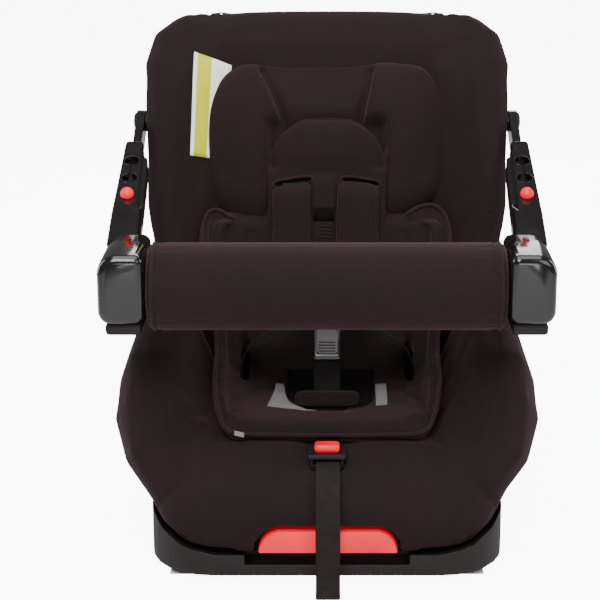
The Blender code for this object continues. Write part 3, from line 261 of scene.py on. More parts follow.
def rubber_finish(name, colour):
    f = Finish(name)
    speckle = f.noise(800.0, 2.0)
    tone = f.colours(speckle, (0.3, scaled(colour, 0.7)), (0.7, scaled(colour, 1.4)))
    f.set(Base_Color=tone, Roughness=f.between(speckle, 0.8, 0.95), Normal=f.bump(speckle, 0.0002, 0.8))
    return f.material


def tag_finish(name, band_colour):
    """A blank woven tag: white, with one plain coloured band along it. UV X runs across the tag."""
    f = Finish(name)
    across = f.add("ShaderNodeSeparateXYZ", {0: f.uv}).outputs[0]
    off_middle = f.math("ABSOLUTE", f.math("SUBTRACT", across, 0.29))
    band = f.math("LESS_THAN", off_middle, 0.19)
    weave = f.weave(0.0009)
    white = f.colours(weave, (0.2, (0.88, 0.87, 0.85)), (0.8, (0.95, 0.94, 0.92)))
    coloured = f.colours(weave, (0.2, scaled(band_colour, 0.85)), (0.8, band_colour))
    tone = f.blend(band, white, coloured)
    # the tag glows faintly by itself (0.08): painted light that keeps it bright
    f.set(Base_Color=tone, Roughness=0.7, Emission_Color=tone, Emission_Strength=0.08)
    f.set(Normal=f.bump(weave, 0.0001, 0.7), Sheen_Weight=0.1)
    return f.material


FABRIC = (0.0138, 0.0078, 0.0086)
INSERT = (0.0145, 0.0082, 0.0090)
FINISH = {
    "fabric": cloth_finish("seat fabric", FABRIC),
    "bar_fabric": cloth_finish("bar fabric", FABRIC, 0.0016, 0.85),
    "insert_fabric": cloth_finish("insert fabric", INSERT, 0.0013, 0.45),
    "piping": cloth_finish("piping fabric", scaled(INSERT, 1.3), 0.0008, 0.5, 0.0001),
    "thread": cloth_finish("thread", scaled(INSERT, 1.2), 0.0005, 0.3, 0.00005),
    # lining is the seat fabric at a third of its colour: painted shade, used where slots and openings would lie in
    # shadow
    "lining": cloth_finish("slot lining", scaled(FABRIC, 0.35), 0.0012, 0.0),
    "grey_lining": cloth_finish("grey lining", (0.20, 0.19, 0.19), 0.0012, 0.2),
    "webbing": webbing_finish("webbing", (0.0145, 0.0090, 0.0095)),
    # the same webbing darkened: painted shade for the harness and crotch straps, which lie in shadow
    "shaded_webbing": webbing_finish("dark webbing", (0.0085, 0.0055, 0.0058)),
    "shell_plastic": moulded_finish("shell plastic", (0.0080, 0.0048, 0.0052), 0.58),
    "buckle_plastic": moulded_finish("buckle plastic", (0.16, 0.15, 0.155), 0.38),
    "gloss_plastic": gloss_finish("gloss plastic", (0.0060, 0.0045, 0.0048)),
    # the red plastic glows a little by itself (0.28): painted light that brightens its red
    "red_plastic": gloss_finish("red plastic", (0.86, 0.003, 0.018), 0.32, 0.05, 0.28),
    "steel": steel_finish("steel", (0.62, 0.62, 0.63)),
    "rubber": rubber_finish("rubber", (0.022, 0.022, 0.022)),
    "tag": tag_finish("tag cloth", (0.60, 0.62, 0.0)),
}
SLOT_OF = {"piping": "insert_fabric", "thread": "insert_fabric", "lining": "fabric"}
SLOT_OF |= {"shaded_webbing": "webbing", "bar_fabric": "fabric"}
SLOT_OF |= {"grey_lining": "insert_fabric", "buckle_plastic": "shell_plastic", "tag": "webbing"}


# ---- objects and meshes --------------------------------------------------------------------------
def dress(obj, finish, body):
    """Gives a piece its material, and lets it ride on a body."""
    obj.data.materials.clear()
    obj.data.materials.append(FINISH[finish])
    if body:
        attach(obj, body)
    return obj


def linked(name, data):
    obj = bpy.data.objects.new(name, data)
    SCENE.collection.objects.link(obj)
    return obj


def from_bmesh(name, bm, finish, body):
    bmesh.ops.recalc_face_normals(bm, faces=bm.faces)
    mesh = bpy.data.meshes.new(name)
    bm.to_mesh(mesh)
    bm.free()
    mesh.shade_smooth()
    return dress(linked(name, mesh), finish, body)


def bake(obj):
    """Applies every modifier of obj."""
    bpy.context.view_layer.update()
    graph = bpy.context.evaluated_depsgraph_get()
    mesh = bpy.data.meshes.new_from_object(obj.evaluated_get(graph))
    obj.modifiers.clear()
    obj.data = mesh


def read(mesh, field="vertices", key="co"):
    values = np.zeros(len(getattr(mesh, field)) * 3)
    getattr(mesh, field).foreach_get(key, values)
    return values.reshape(-1, 3)


def write(mesh, points):
    mesh.vertices.foreach_set("co", points.astype(np.float32).ravel())
    mesh.update()


def normals_of(mesh):
    return read(mesh, "vertex_normals", "vector")


def averager(mesh):
    """A function that gives every vertex the average of its neighbours' values."""
    size = len(mesh.vertices)
    ends = np.zeros(len(mesh.edges) * 2, int)
    mesh.edges.foreach_get("vertices", ends)
    a, b = ends.reshape(-1, 2).T
    count = np.maximum(np.bincount(a, minlength=size) + np.bincount(b, minlength=size), 1)

    def average(values):
        total = np.zeros_like(values)
        for axis in range(3):
            total[:, axis] = np.bincount(a, values[b, axis], size)
            total[:, axis] += np.bincount(b, values[a, axis], size)
        return total / count[:, None]

    return average


def relax(mesh, steps):
    """Smooths a mesh without shrinking it much: each step averages, then steps back a little."""
    average = averager(mesh)
    points = read(mesh)
    for _ in range(steps):
        points += (average(points) - points) * 0.5
        points -= (average(points) - points) * 0.40
    write(mesh, points)


def surface(*objects):
    """A search tree over the faces of these objects."""
    points, faces = [], []
    for obj in objects:
        start = len(points)
        points += [v.co.copy() for v in obj.data.vertices]
        faces += [[start + i for i in p.vertices] for p in obj.data.polygons]
    return BVHTree.FromPolygons(points, faces)


def distance_to(points, *nodes):
    tree = surface(*[NODES[n] for n in nodes])
    return np.array([tree.find_nearest(Vector(p), 0.03)[3] or 0.03 for p in points])


# ---- soft goods: remesh, swell, subdivide --------------------------------------------------------
SOFT = []


def soft_copy(source, name, voxel, steps, cap, hold=None):
    """Starts a soft piece as an even mesh over source, a node's name or an object.

    hold(points, normals) gives the vertices that stay where they are; cap limits the swelling."""
    if isinstance(source, str):
        obj = linked(name, NODES[source].data.copy())
        bm = bmesh.new()
        bm.from_mesh(obj.data)
        bmesh.ops.remove_doubles(bm, verts=bm.verts, dist=0.00001)
        bm.to_mesh(obj.data)
        bm.free()
    else:
        obj = source
    obj.name = name
    remesh = obj.modifiers.new("remesh", "REMESH")
    remesh.mode = "VOXEL"
    remesh.voxel_size = voxel
    bake(obj)
    held = np.zeros(len(obj.data.vertices), bool)
    if hold:
        held = hold(read(obj.data), normals_of(obj.data))
    relax(obj.data, steps)
    SOFT.append((obj, cap, held))
    return obj


def lobe(name, points, centre, under, over, roll=6):
    """A closed cushion over an outline in backrest coordinates (x, length).

    under(x, length) and over(x, length) are the lifts of its two faces; over rolls down to under
    at the outline, later for a larger roll."""
    outline = [Vector((p.x, p.y)) for p in spline([(x, length, 0.0) for x, length in points], True)]
    centre = Vector(centre)
    bm = bmesh.new()
    edges = []
    for top in (False, True):
        before = None
        for k in range(26):
            t = 1.0 - k / 26
            ring = []
            for point in outline:
                q = centre + (point - centre) * t
                lift = under(q.x, q.y)
                if top:
                    lift = mix(lift + 0.001, over(q.x, q.y), math.sqrt(1.0 - t**roll))
                ring.append(bm.verts.new(on_back(q.x, q.y, lift)))
            if before:
                for i in range(len(ring)):
                    n = (i + 1) % len(ring)
                    bm.faces.new((before[i], before[n], ring[n], ring[i]))
            else:
                edges.append(ring)
            before = ring
        bm.faces.new(before)
    low, high = edges
    for i in range(len(low)):
        n = (i + 1) % len(low)
        bm.faces.new((low[i], low[n], high[n], high[i]))
    bmesh.ops.triangulate(bm, faces=[f for f in bm.faces if len(f.verts) > 4])
    return from_bmesh(name, bm, "insert_fabric", "seat")


def swell_all():
    """One cloth simulation for all soft pieces: pressure inside, no gravity, movement capped."""
    for obj, cap, held in SOFT:
        group = obj.vertex_groups.new(name="held")
        group.add([int(i) for i in np.flatnonzero(held)], 1.0, "REPLACE")
        cloth = obj.modifiers.new("cloth", "CLOTH")
        cloth.settings.use_pressure = True
        cloth.settings.uniform_pressure_force = 4.0
        cloth.settings.effector_weights.gravity = 0.0
        cloth.settings.vertex_group_mass = group.name
        cloth.point_cache.frame_start = 1
        cloth.point_cache.frame_end = 20
    for frame_number in range(1, 21):
        SCENE.frame_set(frame_number)
    graph = bpy.context.evaluated_depsgraph_get()
    for obj, cap, held in SOFT:
        start = read(obj.data)
        shift = read(obj.evaluated_get(graph).data) - start
        length = np.linalg.norm(shift, axis=1, keepdims=True)
        shift *= np.minimum(1.0, cap / np.maximum(length, 1e-9))
        average = averager(obj.data)
        for _ in range(8):
            shift = mix(shift, average(shift), 0.7)
        obj.modifiers.clear()
        obj.vertex_groups.clear()
        write(obj.data, start + shift)
        relax(obj.data, 2)


def subdivide(obj, levels=1):
    modifier = obj.modifiers.new("finer", "SUBSURF")
    modifier.levels = modifier.render_levels = levels
    bake(obj)
    obj.data.shade_smooth()


# ---- lines on surfaces: seams, piping, stitches --------------------------------------------------
STEP = 0.003  # pitch of the points along a curve


def parts_of(start, end):
    return max(2, int((end - start).length / STEP))


def spline(points, closed=False):
    """A smooth curve through the points, in even short steps."""
    points = [Vector(p) for p in points]
    count = len(points)
    pieces = count if closed else count - 1
    line = []
    for i in range(pieces):
        p1, p2 = points[i], points[(i + 1) % count]
        p0 = points[i - 1] if closed or i else p1 * 2 - p2
        p3 = points[(i + 2) % count] if closed or i + 2 < count else p2 * 2 - p1
        parts = parts_of(p1, p2)
        for j in range(parts):
            t = j / parts
            line.append(
                0.5 * (2 * p1 + (p2 - p0) * t + (2 * p0 - 5 * p1 + 4 * p2 - p3) * t**2)
                + 0.5 * (3 * p1 - 3 * p2 + p3 - p0) * t**3
            )
    if not closed:
        line.append(points[-1])
    return line


def snapped(line, tree, lift=0.0, aim=None):
    """The line moved on to a surface. With aim, each point falls along aim instead of going nearest."""
    result = []
    for point in line:
        hit = tree.ray_cast(point - aim * 0.05, aim, 0.12) if aim else (None,)
        if hit[0] is None:
            hit = tree.find_nearest(point)
        result.append(hit[0] + hit[1] * lift)
    return result


def press(obj, line, depth, width):
    """Pulls the surface in along a line, as a seam does to padding."""
    tree = kdtree.KDTree(len(line))
    for i, point in enumerate(line):
        tree.insert(point, i)
    tree.balance()
    points, normals = read(obj.data), normals_of(obj.data)
    reach = np.array([tree.find(Vector(p))[2] for p in points])
    points -= normals * (depth * np.exp(-((reach / width) ** 2)))[:, None]
    write(obj.data, points)


def cord(name, line, radius, finish, body, closed=False):
    """A round cord along a line."""
    curve = bpy.data.curves.new(name, "CURVE")
    curve.dimensions = "3D"
    curve.bevel_depth = radius
    curve.bevel_resolution = 3
    curve.use_fill_caps = True
    path = curve.splines.new("POLY")
    path.points.add(len(line) - 1)
    for target, point in zip(path.points, line):
        target.co = (*point, 1.0)
    path.use_cyclic_u = closed
    return dress(linked(name, curve), finish, body)


def stitches(name, line, tree, body, pitch=0.0042, share=0.72, radius=0.00038, closed=False):
    """Short threads laid end to end along a line on a surface."""
    points = snapped(line, tree, radius * 0.6)
    if closed:
        points.append(points[0])
    lengths = np.cumsum([0.0] + [(b - a).length for a, b in zip(points, points[1:])])
    table = np.array(points)

    def at(distance):
        return Vector([np.interp(distance, lengths, table[:, axis]) for axis in range(3)])

    bm = bmesh.new()
    for i in range(int(lengths[-1] / pitch)):
        start, end = at(i * pitch), at((i + share) * pitch)
        along = end - start
        if along.length < pitch * 0.2:
            continue
        turn = along.to_track_quat("Z", "Y").to_matrix().to_4x4()
        shape = Matrix.Translation((start + end) / 2) @ turn
        shape = shape @ Matrix.Diagonal((radius, radius, along.length / 2, 1.0))
        bmesh.ops.create_icosphere(bm, subdivisions=1, radius=1.0, matrix=shape)
    return from_bmesh(name, bm, "thread", body)


def beside(line, tree, offset):
    """A line on the surface, this far to one side of another line."""
    result = []
    for i, point in enumerate(line):
        ahead = line[min(i + 1, len(line) - 1)] - line[max(i - 1, 0)]
        normal = tree.find_nearest(point)[1]
        result.append(point + ahead.normalized().cross(normal).normalized() * offset)
    return result


# ---- webbing -------------------------------------------------------------------------------------
def strap_stations(node, wide, thick):
    """Centre points and width directions of a webbing solid, in order along it."""
    bm = bmesh.new()
    bm.from_mesh(NODES[node].data)
    bmesh.ops.remove_doubles(bm, verts=bm.verts, dist=0.00001)

    def partner(vertex, length):
        others = [e.other_vert(vertex) for e in vertex.link_edges]
        return min(others, key=lambda o: abs((o.co - vertex.co).length - length))

    middle = {v: (v.co + partner(v, thick).co) / 2 for v in bm.verts}
    station, places = {}, []
    for v in bm.verts:
        if v in station:
            continue
        others = [e.other_vert(v) for e in v.link_edges]
        across = min(others, key=lambda o: abs((middle[o] - middle[v]).length - wide))
        for corner in (v, partner(v, thick), across, partner(across, thick)):
            station[corner] = len(places)
        places.append(((middle[v] + middle[across]) / 2, (middle[across] - middle[v]).normalized()))
    neighbours = {i: set() for i in range(len(places))}
    for edge in bm.edges:
        a, b = (station[v] for v in edge.verts)
        if a != b:
            neighbours[a].add(b)
            neighbours[b].add(a)
    bm.free()
    here = min((i for i in neighbours if len(neighbours[i]) == 1), key=lambda i: places[i][0].z)
    order, before = [here], None
    while True:
        ahead = [i for i in neighbours[order[-1]] if i != before]
        if not ahead:
            break
        before = order[-1]
        order.append(ahead[0])
    stations = [places[i] for i in order]
    for i in range(1, len(stations)):
        if stations[i][1].dot(stations[i - 1][1]) < 0:
            stations[i] = (stations[i][0], -stations[i][1])
    return stations


def strap(name, node, wide, thick, finish, columns=14):
    """Webbing with rolled edges and fine lengthwise ribs, on the path of the frame's strap."""
    stations = strap_stations(node, wide, thick)
    points = spline([place for place, width in stations])
    widths = []
    for (start, width), (end, width_ahead) in zip(stations, stations[1:]):
        parts = parts_of(start, end)
        widths += [width.lerp(width_ahead, smooth(j / parts)).normalized() for j in range(parts)]
    widths.append(stations[-1][1])
    bm = bmesh.new()
    uv = bm.loops.layers.uv.new("UVMap")
    rings, run = [], 0.0
    for i, (point, width) in enumerate(zip(points, widths)):
        ahead = points[min(i + 1, len(points) - 1)] - points[max(i - 1, 0)]
        tangent = ahead.normalized()
        width = (width - tangent * width.dot(tangent)).normalized()
        normal = width.cross(tangent)
        run += (points[i] - points[i - 1]).length if i else 0.0
        ring = []
        for side in (1, -1):
            for j in range(columns + 1):
                u = (-1 + 2 * j / columns) * side
                edge = math.sqrt(max(1 - abs(u) ** 10, 0.0)) * (1.0 + 0.22 * smooth((abs(u) - 0.75) / 0.1))
                half = thick * 0.42 * edge + 0.00008 * math.cos(u * math.pi * columns / 2)
                vertex = bm.verts.new(point + width * (u * wide * 0.497) + normal * (half * side))
                ring.append((vertex, (u * 0.5 + 0.5, run)))
        rings.append(ring)
    count = len(rings[0])
    for low, high in zip(rings, rings[1:]):
        for i in range(count):
            n = (i + 1) % count
            corners = (low[i], low[n], high[n], high[i])
            face = bm.faces.new([c[0] for c in corners])
            for loop, corner in zip(face.loops, corners):
                loop[uv].uv = corner[1]
    bm.faces.new([c[0] for c in rings[0]][::-1])
    bm.faces.new([c[0] for c in rings[-1]])
    piece = from_bmesh(name, bm, finish, "seat")
    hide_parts(node)
    return piece


# ---- rules for which vertices stay put while a piece swells --------------------------------------
def hold_near(nodes, reach, also=None):
    """Vertices within reach of these nodes stay put, and so do those that also() picks."""

    def rule(points, normals):
        held = distance_to(points, *nodes) < reach
        return held | also(points, normals) if also else held

    return rule


def beside_arms(points, normals):
    """Fabric that faces the swinging arms stays clear of them."""
    return (np.abs(points[:, 0]) > 0.188) & (points[:, 2] > 0.24)


def under_panel(points, normals):
    """The part of the insert that the arch panel lies on."""
    away = points - np.array(BACK_START)
    return (np.abs(points[:, 0]) < 0.074) & (away @ np.array(BACK_UP) > 0.085)


def facing_back(points, normals):
    return normals @ np.array(BACK_OUT) < 0.1


# ---- shapes of the cushions on the backrest ------------------------------------------------------
V_LINES = {
    "left": ((-0.0770, 0.337), (-0.066, 0.315), (-0.055, 0.288), (-0.050, 0.268), (-0.047, 0.245)),
    "right": ((0.0515, 0.337), (0.048, 0.315), (0.042, 0.290), (0.039, 0.270), (0.037, 0.245)),
}


def line_at(points, length):
    """x of a line of (x, length) points at one length."""
    points = sorted(points, key=lambda p: p[1])
    return float(np.interp(length, [p[1] for p in points], [p[0] for p in points]))


def pillow_under(x, length):
    """The pillow rests on the backrest, and its lower edge on the insert."""
    on_insert = smooth((0.215 - length) / 0.018) * smooth((0.136 - abs(x)) / 0.010)
    return 0.0246 + 0.0092 * on_insert


def pillow_over(x, length):
    """Two raised wings, with a lower panel between the V lines."""
    left, right = line_at(V_LINES["left"], length), line_at(V_LINES["right"], length)
    wing = max(smooth((x - right + 0.002) / 0.014), smooth((left - x + 0.002) / 0.014))
    away = math.hypot((abs(x) - 0.098) / 0.060, (length - 0.250) / 0.125)
    raised = 0.0600 - 0.0100 * away**2
    panel = 0.0335 + 0.0085 * math.sin(math.pi * min(max((length - 0.262) / 0.090, 0.0), 1.0))
    behind_arch = smooth((0.285 - length) / 0.02) * smooth((0.074 - abs(x)) / 0.008)
    return mix(mix(panel, raised, wing), 0.0350, behind_arch)


def pillow_shape():
    points = [(-0.014, 0.3440), (0.030, 0.3450), (0.053, 0.3480), (0.084, 0.3480), (0.1160, 0.3420)]
    points += [(0.1390, 0.3180), (0.1505, 0.2780), (0.1500, 0.2380), (0.1420, 0.2000), (0.1200, 0.1730)]
    points += [(0.0950, 0.1600), (0.0500, 0.1560), (0.0, 0.1560), (-0.0500, 0.1540), (-0.0940, 0.1510)]
    points += [(-0.1180, 0.1590), (-0.1410, 0.1790), (-0.1560, 0.2120), (-0.1600, 0.2500), (-0.1575, 0.2850)]
    points += [(-0.1450, 0.3140), (-0.1250, 0.3350), (-0.1020, 0.3460), (-0.0810, 0.3470), (-0.0550, 0.3440)]
    return lobe("head_pillow_cushion", points, (0.0, 0.250), pillow_under, pillow_over, 5)


SHOULDER_OUTLINE = {
    "left": ((-0.0630, 0.0985), (-0.0640, 0.150), (-0.0655, 0.186), (-0.0610, 0.1935), (-0.0420, 0.1985)),
    "right": ((0.0600, 0.0985), (0.0610, 0.150), (0.0620, 0.189), (0.0580, 0.1965), (0.0380, 0.2010)),
}
SHOULDER_INNER = {
    "left": ((-0.0250, 0.2010), (-0.0200, 0.1960), (-0.0190, 0.150), (-0.0180, 0.1010), (-0.0280, 0.0970)),
    "right": ((0.0190, 0.2020), (0.0130, 0.1970), (0.0110, 0.150), (0.0110, 0.1010), (0.0200, 0.0970)),
}


def shoulder_pad_shape(side):
    """A flat padded sleeve whose top end turns back into its slot."""
    points = SHOULDER_OUTLINE[side] + SHOULDER_INNER[side]
    middle = (points[1][0] + points[7][0]) / 2

    def fall(length):
        return 0.0125 * max((length - 0.183) / 0.019, 0.0) ** 2

    def under(x, length):
        return 0.0548 - fall(length) * 0.4

    def over(x, length):
        return 0.0676 - fall(length) + 0.0012 * (1.0 - ((x - middle) / 0.024) ** 2)

    return lobe(f"shoulder_pad_{side}_cushion", points, (middle, 0.150), under, over, 12)


def ear_lift(x, length):
    outer = 0.0585 + 0.45 * max(0.160 - length, 0.0)
    return mix(0.0575, outer, smooth((abs(x) - 0.095) / 0.040))


def ear_points(side, sign):
    """The top of an insert wing, from its outer edge over the peak to the arch panel."""
    if side == "left":
        outer = ((-0.1510, 0.112), (-0.1520, 0.138), (-0.1480, 0.157), (-0.1400, 0.168))
        return outer + ((-0.1260, 0.169), (-0.1100, 0.158))
    outer = ((0.1500, 0.116), (0.1490, 0.143), (0.1420, 0.163), (0.1280, 0.175))
    return outer + ((0.1100, 0.174), (0.0930, 0.164))


def ear_shape(side, sign):
    tail = tuple((sign * x, length) for x, length in ((0.078, 0.148), (0.074, 0.115), (0.095, 0.096), (0.130, 0.096)))
    points = ear_points(side, sign) + tail
    return lobe(
        f"insert_ear_{side}", points, (sign * 0.112, 0.135), lambda x, length: 0.0500, ear_lift, 5
    )


# ---- soft goods ----------------------------------------------------------------------------------
def start_soft_goods():
    hold_shell = hold_near(("seat_shell",), 0.0032, beside_arms)
    soft_copy("seat_cover", "seat_cover_fabric", 0.0031, 14, 0.0055, hold_shell)
    soft_copy("backrest_cover", "backrest_fabric", 0.0027, 12, 0.0035, hold_shell)
    hold_insert = hold_near(("seat_cover", "backrest_cover"), 0.0025, under_panel)
    soft_copy("infant_insert", "infant_insert_fabric", 0.0034, 5, 0.0045, hold_insert)
    soft_copy(pillow_shape(), "head_pillow_cushion", 0.0032, 4, 0.0060, facing_back)
    soft_copy("bar_pad", "bar_pad_sleeve", 0.0040, 3, 0.0015, hold_near(("bar_tube",), 0.003))
    for side, sign in SIDES:
        soft_copy(shoulder_pad_shape(side), f"shoulder_pad_{side}_cushion", 0.0020, 3, 0.0016, facing_back)
        soft_copy(ear_shape(side, sign), f"insert_ear_{side}", 0.0026, 3, 0.0030, facing_back)
    soft_copy("crotch_pad", "crotch_pad_cushion", 0.0019, 3, 0.0020, hold_near(("crotch_strap",), 0.003))


def piece(name):
    return bpy.data.objects[name]


def finish_soft_goods():
    for name, finish, body, node in (
        ("seat_cover_fabric", "fabric", "seat", "seat_cover"),
        ("backrest_fabric", "fabric", "seat", "backrest_cover"),
        ("infant_insert_fabric", "insert_fabric", "seat", "infant_insert"),
        ("head_pillow_cushion", "insert_fabric", "seat", "head_pillow"),
        ("bar_pad_sleeve", "bar_fabric", "guard_bar", "bar_pad"),
        ("shoulder_pad_left_cushion", "insert_fabric", "seat", "shoulder_pad_left"),
        ("shoulder_pad_right_cushion", "insert_fabric", "seat", "shoulder_pad_right"),
        ("crotch_pad_cushion", "insert_fabric", "seat", "crotch_pad"),
        ("insert_ear_left", "insert_fabric", "seat", None),
        ("insert_ear_right", "insert_fabric", "seat", None),
    ):
        if node not in ("seat_cover", "backrest_cover"):
            subdivide(piece(name))
        piece(name).data.shade_smooth()
        dress(piece(name), finish, body)
        if node:
            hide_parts(node)


def mirrored(points, sign):
    return [Vector((p[0] * sign, p[1], p[2])) for p in points]


def seam(target, name, points, body, depth, width, offsets=(), radius=0.0, closed=False, aim=None):
    """A seam: the cloth pulls in along it, with an optional cord in it and stitches beside it."""
    line = spline(points, closed)
    line = snapped(line, surface(target), 0.0, aim)
    press(target, line, depth, width)
    tree = surface(target)
    if radius:
        cord(name + "_cord", snapped(line, tree, radius * 0.35), radius, "piping", body, closed)
    for i, offset in enumerate(offsets):
        stitches(f"{name}_stitches_{i + 1}", beside(line, tree, offset), tree, body, closed=closed)


def lie_over(obj, node, outside=0.0014, inside=0.0003):
    """Lifts the cloth off a hard piece: its outer face clears it by outside, its lining by inside."""
    tree = surface(NODES[node])
    points, normals = read(obj.data), normals_of(obj.data)
    for i, (point, normal) in enumerate(zip(points, normals)):
        nearest, facing, _, gap = tree.find_nearest(Vector(point), 0.005)
        if nearest is None:
            continue
        above = (Vector(point) - nearest).dot(facing)
        wanted = outside if facing.dot(Vector(normal)) > 0.0 else inside
        if above < wanted and gap < 0.0045:
            points[i] = nearest + facing * wanted
    write(obj.data, points)


# ---- seat cover ----------------------------------------------------------------------------------
def bump(values, middle, width):
    """1 at middle, falling smoothly to 0 at width on either side."""
    t = np.clip(1.0 - np.abs(values - middle) / width, 0.0, 1.0)
    return t * t * (3.0 - 2.0 * t)


def detail_seat_cover():
    """The bolster seams run along each bolster's crest, down its front end and round the apron."""
    cover = piece("seat_cover_fabric")
    points = read(cover.data)
    # the bolsters' outer faces stand out over the base
    outer = np.clip((np.abs(points[:, 0]) - 0.150) / 0.030, 0.0, 1.0)
    low_front = bump(points[:, 2], 0.130, 0.105) * np.clip((0.02 - points[:, 1]) / 0.08, 0.0, 1.0)
    points[:, 0] += np.sign(points[:, 0]) * 0.0075 * outer * low_front
    write(cover.data, points)
    lie_over(cover, "seat_shell")
    ridge = [(0.182, 0.030, 0.250), (0.187, -0.020, 0.226), (0.191, -0.066, 0.212), (0.1865, -0.092, 0.197)]
    ridge += [(0.178, -0.119, 0.178), (0.1665, -0.142, 0.151), (0.160, -0.158, 0.136)]
    ridge += [(0.1545, -0.168, 0.130), (0.156, -0.185, 0.116), (0.161, -0.194, 0.098)]
    ridge += [(0.170, -0.193, 0.083), (0.179, -0.186, 0.071)]
    for side, sign in SIDES:
        points = mirrored(ridge, sign)
        seam(cover, f"bolster_seam_{side}", points, "seat", 0.0022, 0.0045, (0.0042,))
    crest = [(-0.150, -0.165, 0.131), (-0.110, -0.1600, 0.1285), (-0.060, -0.1560, 0.1270)]
    crest += [(0.060, -0.1560, 0.1270), (0.110, -0.1600, 0.1285), (0.150, -0.165, 0.131)]
    line = snapped(spline(crest), surface(cover), 0.0)
    press(cover, line, -0.0016, 0.0070)
    hem = [(-0.086, -0.222, 0.050), (-0.078, -0.2235, 0.0615), (-0.060, -0.2240, 0.0690)]
    hem += [(-0.030, -0.2245, 0.0705), (0.030, -0.2245, 0.0705), (0.060, -0.2240, 0.0690)]
    hem += [(0.078, -0.2235, 0.0615), (0.086, -0.222, 0.050)]
    seam(cover, "lever_hem", hem, "seat", 0.0010, 0.0030, (0.0026,))


# ---- backrest cover ------------------------------------------------------------------------------
def detail_backrest():
    cover = piece("backrest_fabric")
    points = read(cover.data)
    away = points - np.array(BACK_START)
    length = away @ np.array(BACK_UP)
    wide, side = np.abs(points[:, 0]), np.sign(points[:, 0])
    # the top edge is crowned, and its corners are full
    near_top = np.clip((length - 0.300) / 0.090, 0.0, 1.0) ** 2
    rise = 0.0050 * np.clip(1.0 - (wide / 0.190) ** 2, 0.0, 1.0) + 0.0095 * bump(wide, 0.176, 0.060)
    points += np.outer(near_top * rise, np.array(BACK_UP))
    points[:, 0] += side * 0.0050 * bump(length, 0.375, 0.060) * np.clip((wide - 0.12) / 0.06, 0.0, 1.0)
    # lower down, the side walls stand out past the arms' inner faces
    outer = np.clip((wide - 0.150) / 0.035, 0.0, 1.0)
    points[:, 0] += side * 0.0060 * outer * bump(points[:, 2], 0.335, 0.070)
    write(cover.data, points)
    lie_over(cover, "seat_shell")


# ---- infant insert -------------------------------------------------------------------------------
def detail_insert():
    insert = piece("infant_insert_fabric")
    # above the ears the insert is thin, and lies under the pillow
    points = read(insert.data)
    away = points - np.array(BACK_START)
    length, lift = away @ np.array(BACK_UP), away @ np.array(BACK_OUT)
    share = np.clip((length - 0.150) / 0.025, 0.0, 1.0) * np.clip((np.abs(points[:, 0]) - 0.066) / 0.006, 0.0, 1.0)
    thin = 0.0252 + np.maximum(lift - 0.0364, 0.0) * 0.5
    points += np.outer(share * (np.minimum(thin, 0.0335) - lift), np.array(BACK_OUT))
    write(insert.data, points)
    ears = [piece(f"insert_ear_{side}") for side, _ in SIDES]
    outlines = []
    for side, sign in SIDES:
        edge = [(0.060, -0.1545, 0.1372), (0.098, -0.1538, 0.1395), (0.1165, -0.1425, 0.149)]
        edge += [(0.1250, -0.106, 0.1665), (0.1290, -0.063, 0.183), (0.1295, -0.028, 0.191)]
        edge += [(0.1300, -0.0130, 0.192), (0.1310, 0.0040, 0.196), (0.1340, 0.0225, 0.219)]
        edge += [(0.1390, 0.0350, 0.2500)]
        edge = mirrored(edge, sign)
        edge += [on_back(x, length, ear_lift(x, length) + 0.004) for x, length in ear_points(side, sign)]
        outlines.append(edge)
    front = [Vector((0.0, -0.1545, 0.1365))]
    outline = outlines[0][::-1] + front + outlines[1]
    both = surface(insert, *ears)
    line = snapped(spline(outline), both)
    cord("insert_piping", snapped(line, both, 0.0012), 0.0024, "piping", "seat")
    tree = surface(insert)
    inner = snapped(beside(line[14:-14], tree, 0.0085), tree)
    press(insert, inner, 0.0022, 0.0026)
    tree = surface(insert)
    cord("insert_inner_piping", snapped(inner, tree, 0.0002), 0.0011, "piping", "seat")
    for ear, edge in zip(ears, outlines):
        tree = surface(ear)
        path = snapped(beside(snapped(spline(edge[10:]), tree), tree, 0.0075), tree)
        press(ear, path, 0.0012, 0.0024)
        cord(ear.name + "_piping", snapped(path, surface(ear), 0.0002), 0.0010, "piping", "seat")
    wedge = [(0.112, -0.128, 0.149), (0.104, -0.081, 0.145), (0.090, -0.026, 0.139)]
    wedge += [(0.084, 0.010, 0.144), (0.086, 0.045, 0.175), (0.090, 0.070, 0.235), (0.092, 0.088, 0.300)]
    for side, sign in SIDES:
        seam(insert, f"insert_wing_seam_{side}", mirrored(wedge, sign), "seat", 0.0024, 0.0050, (0.0035,))


# ---- arch panel: the padded panel behind the harness ---------------------------------------------
ARCH_HALF = 0.0695
ARCH_SPRING = 0.2225  # where its sides start to close in
ARCH_TOP = 0.2795
ARCH_FOOT = 0.098
PANEL_UNDER = 0.0508
PANEL_OVER = 0.0544
SLOT_MIDDLE = (0.0405, 0.2000)
SLOT_TILT = math.radians(9)
NOSE_MIDDLE, NOSE_HALF = -0.004, 0.013
# the dark painted-shade patch lies between these lengths, in a shallow dip of the panel
SHADE_PATCH_TOP, SHADE_PATCH_FOOT = 0.1665, 0.1525


def slot_outline(sign, half_long, half_high, count=40):
    """A slot's outline in backrest coordinates: a tilted rounded bar."""
    points = []
    for i in range(count):
        a = 2 * math.pi * i / count
        u = half_long * math.copysign(abs(math.cos(a)) ** 0.45, math.cos(a))
        v = half_high * math.copysign(abs(math.sin(a)) ** 0.8, math.sin(a))
        x = sign * (SLOT_MIDDLE[0] + u * math.cos(SLOT_TILT) + v * math.sin(SLOT_TILT))
        points.append((x, SLOT_MIDDLE[1] - u * math.sin(SLOT_TILT) + v * math.cos(SLOT_TILT)))
    return points


